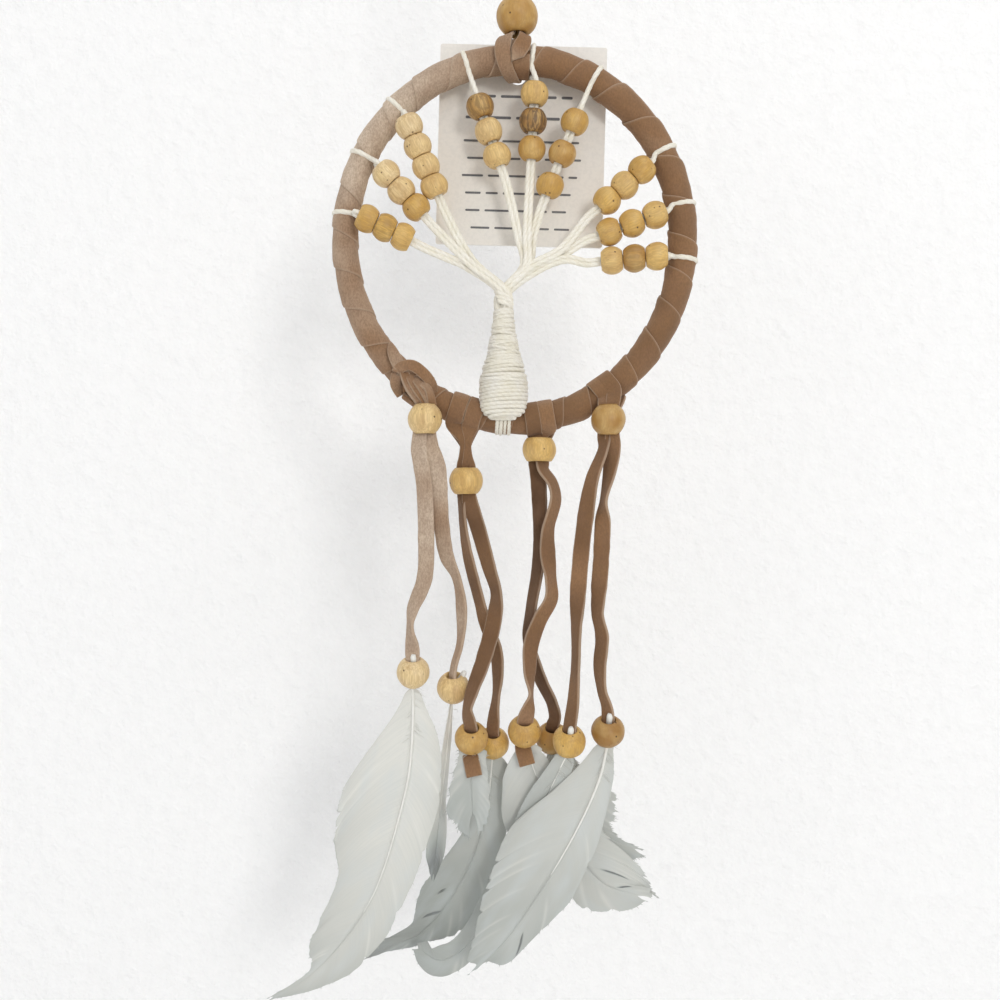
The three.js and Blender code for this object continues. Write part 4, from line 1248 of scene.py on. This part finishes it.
def barb_lengths(spec, blade, shaft, toward, u, column):
    """How far the vane reaches along each barb."""
    length = np.array([blade.reach(p, d) for p, d in zip(shaft, toward)])
    wide, least = (np.interp(u, rows[:, 0], rows[:, column])
                   for rows in (np.array(spec["wide"]), np.array(spec["least"])))
    length = np.maximum(smoothed(length, 3) * wide, least)
    begin, join = spec["begin"][column - 1], spec["join"][column - 1]
    upper = begin + (np.interp(join, u, length) - begin) * u / join
    length = smoothed(np.where(u < join, np.maximum(length, upper), length), 5)
    return np.maximum(length, 0.5)


def barb_splits(spec, place, rng):
    """Where barbs part: the share that each barb loses, and how dark the parting is."""
    cut, streak = 0.0 * place, 0.0 * place
    for at in np.nonzero(rng.random(len(place)) < spec["splits"])[0]:
        near = np.exp(-0.5 * ((place - at) / rng.uniform(0.7, 1.6)) ** 2)
        cut = np.maximum(cut, near * rng.uniform(0.3, 1.0) * spec["clump"])
        streak = np.maximum(streak, near * rng.uniform(0.4, 1.0))
    return cut, streak


def twisted(curves, shaft, angle):
    """The barbs turned about an upright line through each one's foot."""
    off = curves - shaft[:, None]
    return shaft[:, None] + np.stack([
        off[..., 0] * np.cos(angle) - off[..., 1] * np.sin(angle),
        off[..., 0] * np.sin(angle) + off[..., 1] * np.cos(angle), off[..., 2]], axis=-1)


def add_wisps(spec, blade, shape, rng, curves, toward, tint):
    """Loose ends of barbs at the vane's edge."""
    count = len(curves)
    wisps = rng.choice(count, int(count * spec["wisps"]))
    tail = np.linspace(0, 1, 5)[None, :, None]
    lean = rng.normal(0, 0.22, (len(wisps), 1, 3)) * [1, 0.5, 1]
    spread = rng.uniform(0.3, spec["fringe"], len(wisps))[:, None, None]
    hairs = curves[wisps, -1][:, None] + spread * (tail - 0.3) * (
        toward[wisps][:, None] + lean * tail)
    widths = np.broadcast_to(0.3 * (1 - 0.75 * tail[..., 0]), hairs.shape[:2])
    tones = np.broadcast_to(tint[wisps, -1][:, None], hairs.shape[:2])
    add_slivers(shape, blade, hairs, widths, np.clip(tones, 0, 1))


def add_vane(name, spec, blade, shape, shaft, rng):
    ahead = directions(shaft)
    count = len(shaft)
    place, u = np.arange(count), np.linspace(0, 1, count)
    t = np.array([[0, 0.08, 0.17, 0.27, 0.37, 0.47, 0.57, 0.67, 0.77, 0.86, 0.93, 0.975, 1.0]])
    base, far, tip = spec["tints"]
    seed = ord(name[0]) * 0.7 + ord(name[1])
    for side, column in ((-1, 2), (1, 1)):
        closing = spec["open"] - spec["close"]
        angle = np.radians(spec["open"] - closing * u - TIP_CLOSES * u**8)
        across = np.stack([-ahead[:, 2], 0 * u, ahead[:, 0]], axis=1) * -side
        leaving, toward = (
            np.cos(wider)[:, None] * ahead + np.sin(wider)[:, None] * across
            for wider in (angle + math.radians(BARB_LEAVES), angle))
        length = barb_lengths(spec, blade, shaft, toward, u, column)
        cut, streak = barb_splits(spec, place, rng)
        ragged = 0.02 * wobble(place * 0.11, side * 2.3, seed)
        length = length * (1 - cut + ragged) + rng.normal(0, 0.05, count)
        at = t[..., None]
        curves = shaft[:, None] + length[:, None, None] * (
            at * (1 - at) * leaving[:, None] + at**2 * toward[:, None])
        reach = t * length[:, None]
        wave = wobble(curves[..., 0] * 0.05, curves[..., 2] * 0.045, seed)
        curves[..., 1] += (spec["wave"] * wave * np.clip(reach / 6, 0, 1) + 0.03
                           + np.minimum(spec["bow"] * (reach / 14) ** 2, MOST_BOW))
        curves = twisted(curves, shaft, np.radians(spec["twist"])
                         * np.clip((u - 0.5) / 0.35, 0, 1)[:, None])
        tint = (base + far * t**2 * 0.5 + tip * u[:, None] ** spec["tip_power"]
                + 0.05 * wobble(place * 0.05, side * 3, seed)[:, None]
                - 0.16 * streak[:, None] * np.clip((t - 0.25) / 0.3, 0, 1))
        # Painted shade: each slit is a dark line painted on the vane, which is pushed back a little
        # but not opened
        for where, along, first, last in spec["slits"]:
            if where == side:
                inside = 1 - np.abs(t - (first + last) / 2) * 2 / (last - first)
                slit = (np.exp(-((place - along * count) ** 2))[:, None]
                        * np.clip(inside, 0, 1) ** 0.5)
                tint = tint + SLIT_PAINTED_SHADE * slit
                curves[..., 1] += SLIT_DEPTH * slit
        web_at = np.stack([np.broadcast_to(place[:, None] * BARB_GAP, reach.shape), reach,
                           np.full(reach.shape, seed + 7.0 * side)], axis=-1)
        add_web(shape, blade, curves, np.clip(tint, 0, 1), web_at)
        add_wisps(spec, blade, shape, rng, curves, toward, tint)


def add_down(spec, blade, shape, shaft, rng):
    """Loose down where the vane starts."""
    count = DOWN_BARBS
    start = rng.integers(0, max(4, len(shaft) // 7), count)
    t = np.linspace(0, 1, 7)
    side = rng.choice([-1, 1], count)
    angle = np.radians(rng.uniform(25, 75, count))
    length = rng.uniform(1.8, 4.5, count)
    curves = []
    for foot, a, way, long in zip(shaft[start], angle, side, length):
        direction = np.array([way * math.sin(a), rng.uniform(-0.35, 0.35), -math.cos(a)])
        curl = rng.normal(0, 0.5, 3) * 0.5
        sway = np.sin(t * 5 + rng.uniform(0, 6)) * t
        curves.append(foot + t[:, None] * direction * long + sway[:, None] * curl)
    widths = np.broadcast_to(0.2 * (1 - 0.7 * t), (count, len(t)))
    tints = np.broadcast_to(spec["tints"][0] * 0.5, (count, len(t)))
    add_slivers(shape, blade, np.array(curves), widths, tints, 0.03)


def add_feather(name, spec):
    spec = {**PLAIN_FEATHER, **spec}
    blade = Blade(name, spec)
    rng = np.random.default_rng(sum(ord(letter) for letter in name) * 13)
    shaft = smooth_path([(x - blade.centre[0], 0, z - blade.centre[2])
                         for x, z in spec["shaft"]], BARB_GAP)
    shape = Shape()
    add_vane(name, spec, blade, shape, shaft, rng)
    add_down(spec, blade, shape, shaft, rng)
    vane = shape.object(f"feather_vane_{name}", FEATHER)
    finish_piece(vane, f"tip_{name}", [f"feather_{name}"])

    quill = Shape()
    lean = math.sin(math.radians(END_TILTS[name]))
    above = ([(0.3, -1.9 - 3.4 * lean, 5.4), (0.28, -1.5 - 2.6 * lean, 3.8), (0.1, -0.4, 0.5)]
             if name in QUILLS_SHOWING else [(0, 0, 1.0)])
    row = shaft[:int(len(shaft) * 0.93):12].copy()
    sunk = np.clip((np.linspace(0, 1, len(row)) - spec["fade"]) / 0.3, 0, 1)
    row[:, 1] += (0.3 if spec["behind"] else -0.05) + 0.3 * sunk
    path = smooth_path([*above, *row], QUILL_STEP)
    share = np.linspace(0, 1, len(path))
    taper = QUILL_FOOT_RADIUS - QUILL_TIP_RADIUS
    radius = QUILL_TIP_RADIUS + taper * (1 - share) ** 1.5
    if name in QUILLS_SHOWING:
        rounded = np.clip(np.arange(len(path)) * QUILL_STEP / 0.7, 0.35, 1)
        radius = (radius + QUILL_BULGE * (share < 0.06)) * np.sqrt(rounded)
    section = circle(10)[None] * radius[:, None, None]
    swept(quill, blade.out(path), np.broadcast_to(RIGHT, path.shape), section)
    finish_piece(quill.object(f"feather_shaft_{name}", QUILL), f"tip_{name}")


def add_lace_ends():
    for tail, (width, long) in LACE_ENDS_SHOWING.items():
        shape = Shape()
        x, y, z = node_centre(f"end_bead_{tail}")
        lean = math.tan(math.radians(END_TILTS[tail]))
        ribbon(shape, [
            (x - 0.6, y - 0.9, z - 1, 1, 0, 0, 0.8),
            (x - 0.7, y - 0.9 + 4 * lean, z - 4, 1, 0, 0, 0.9),
            (x - 0.3, y - 0.4, z - 5.4, 1, 0, 0.1, 1.0),
            (x + 0.9, y - 1.3, z - 4.2 - long, 1, 0, 0.35, 1.0)],
            width=width, seed=ord(tail[0]), shade=0.45)
        finish_piece(shape.object(f"lace_end_{tail}", SUEDE), f"tip_{tail}")


# ---- room and light ------------------------------------------------------------------


def plaster(name, one_sided):
    n = Nodes(name)
    grain = n.noise(n.place(), 170, 5, 0.6)
    n.base = n.mix(grain, (0.915, 0.915, 0.912), (0.975, 0.975, 0.972))
    n.bump(grain, 0.6, 0.0032)
    if one_sided:
        pick = n.new("ShaderNodeMixShader", {
            0: n.new("ShaderNodeNewGeometry", {}).outputs["Backfacing"],
            1: n.shader.outputs[0], 2: n.new("ShaderNodeBsdfTransparent", {}).outputs[0]})
        n.feed(n.tree.nodes["Material Output"].inputs["Surface"], pick.outputs[0])
    return n.finish(Roughness=0.9, Specular_IOR_Level=0.1)


WALL_DEPTH = 0.11  # behind the hoop
FLOOR_HEIGHT = -0.55


def panel(name, corners, material):
    mesh = bpy.data.meshes.new(name)
    mesh.from_pydata(corners, [], [(0, 1, 2, 3)])
    made = bpy.data.objects.new(name, mesh)
    made.data.materials.append(material)
    scene.collection.objects.link(made)


def add_room():
    reach, top = 1.6, 1.2
    panel("wall", [(-reach, WALL_DEPTH, FLOOR_HEIGHT), (reach, WALL_DEPTH, FLOOR_HEIGHT),
                   (reach, WALL_DEPTH, top), (-reach, WALL_DEPTH, top)],
          plaster("wall_plaster", True))
    panel("floor", [(-reach, -reach, FLOOR_HEIGHT), (reach, -reach, FLOOR_HEIGHT),
                    (reach, reach, FLOOR_HEIGHT), (-reach, reach, FLOOR_HEIGHT)],
          plaster("floor_plaster", False))


def add_light(name, place, target, size, power, colour=(1, 1, 1)):
    data = bpy.data.lights.new(name, "AREA")
    data.shape = "DISK"
    data.size, data.energy, data.color = size, power, colour
    light = bpy.data.objects.new(name, data)
    light.location = place
    light.rotation_euler = (Vector(target) - Vector(place)).to_track_quat("-Z", "Y").to_euler()
    scene.collection.objects.link(light)


def add_lights():
    world = bpy.data.worlds.new("studio")
    world.use_nodes = True
    background = world.node_tree.nodes["Background"]
    background.inputs["Color"].default_value = (0.98, 0.985, 1.0, 1)
    background.inputs["Strength"].default_value = 0.66
    scene.world = world
    middle = (0, 0, -0.2)
    add_light("key", (0.42, -1.25, 0.04), middle, 0.32, 4.4, (1, 0.985, 0.96))
    add_light("top", (0.35, -0.7, 1.0), middle, 1.0, 3.5, (1, 0.985, 0.96))
    add_light("fill", (-0.9, -0.9, 0.0), middle, 0.9, 1.3, (0.97, 0.98, 1))
    add_light("back", (0.3, 0.9, 0.5), middle, 0.8, 6)
    scene.view_settings.view_transform = "Standard"


add_camera()
add_hanger()
add_tails()
add_knot()
add_heads()
add_wrap()
add_tree_cords()
add_winding()
add_core()
add_foot()
add_card()
add_tree_beads()
add_hanging_beads()
for feather_name, feather_spec in FEATHERS.items():
    add_feather(feather_name, feather_spec)
add_lace_ends()
add_room()
add_lights()
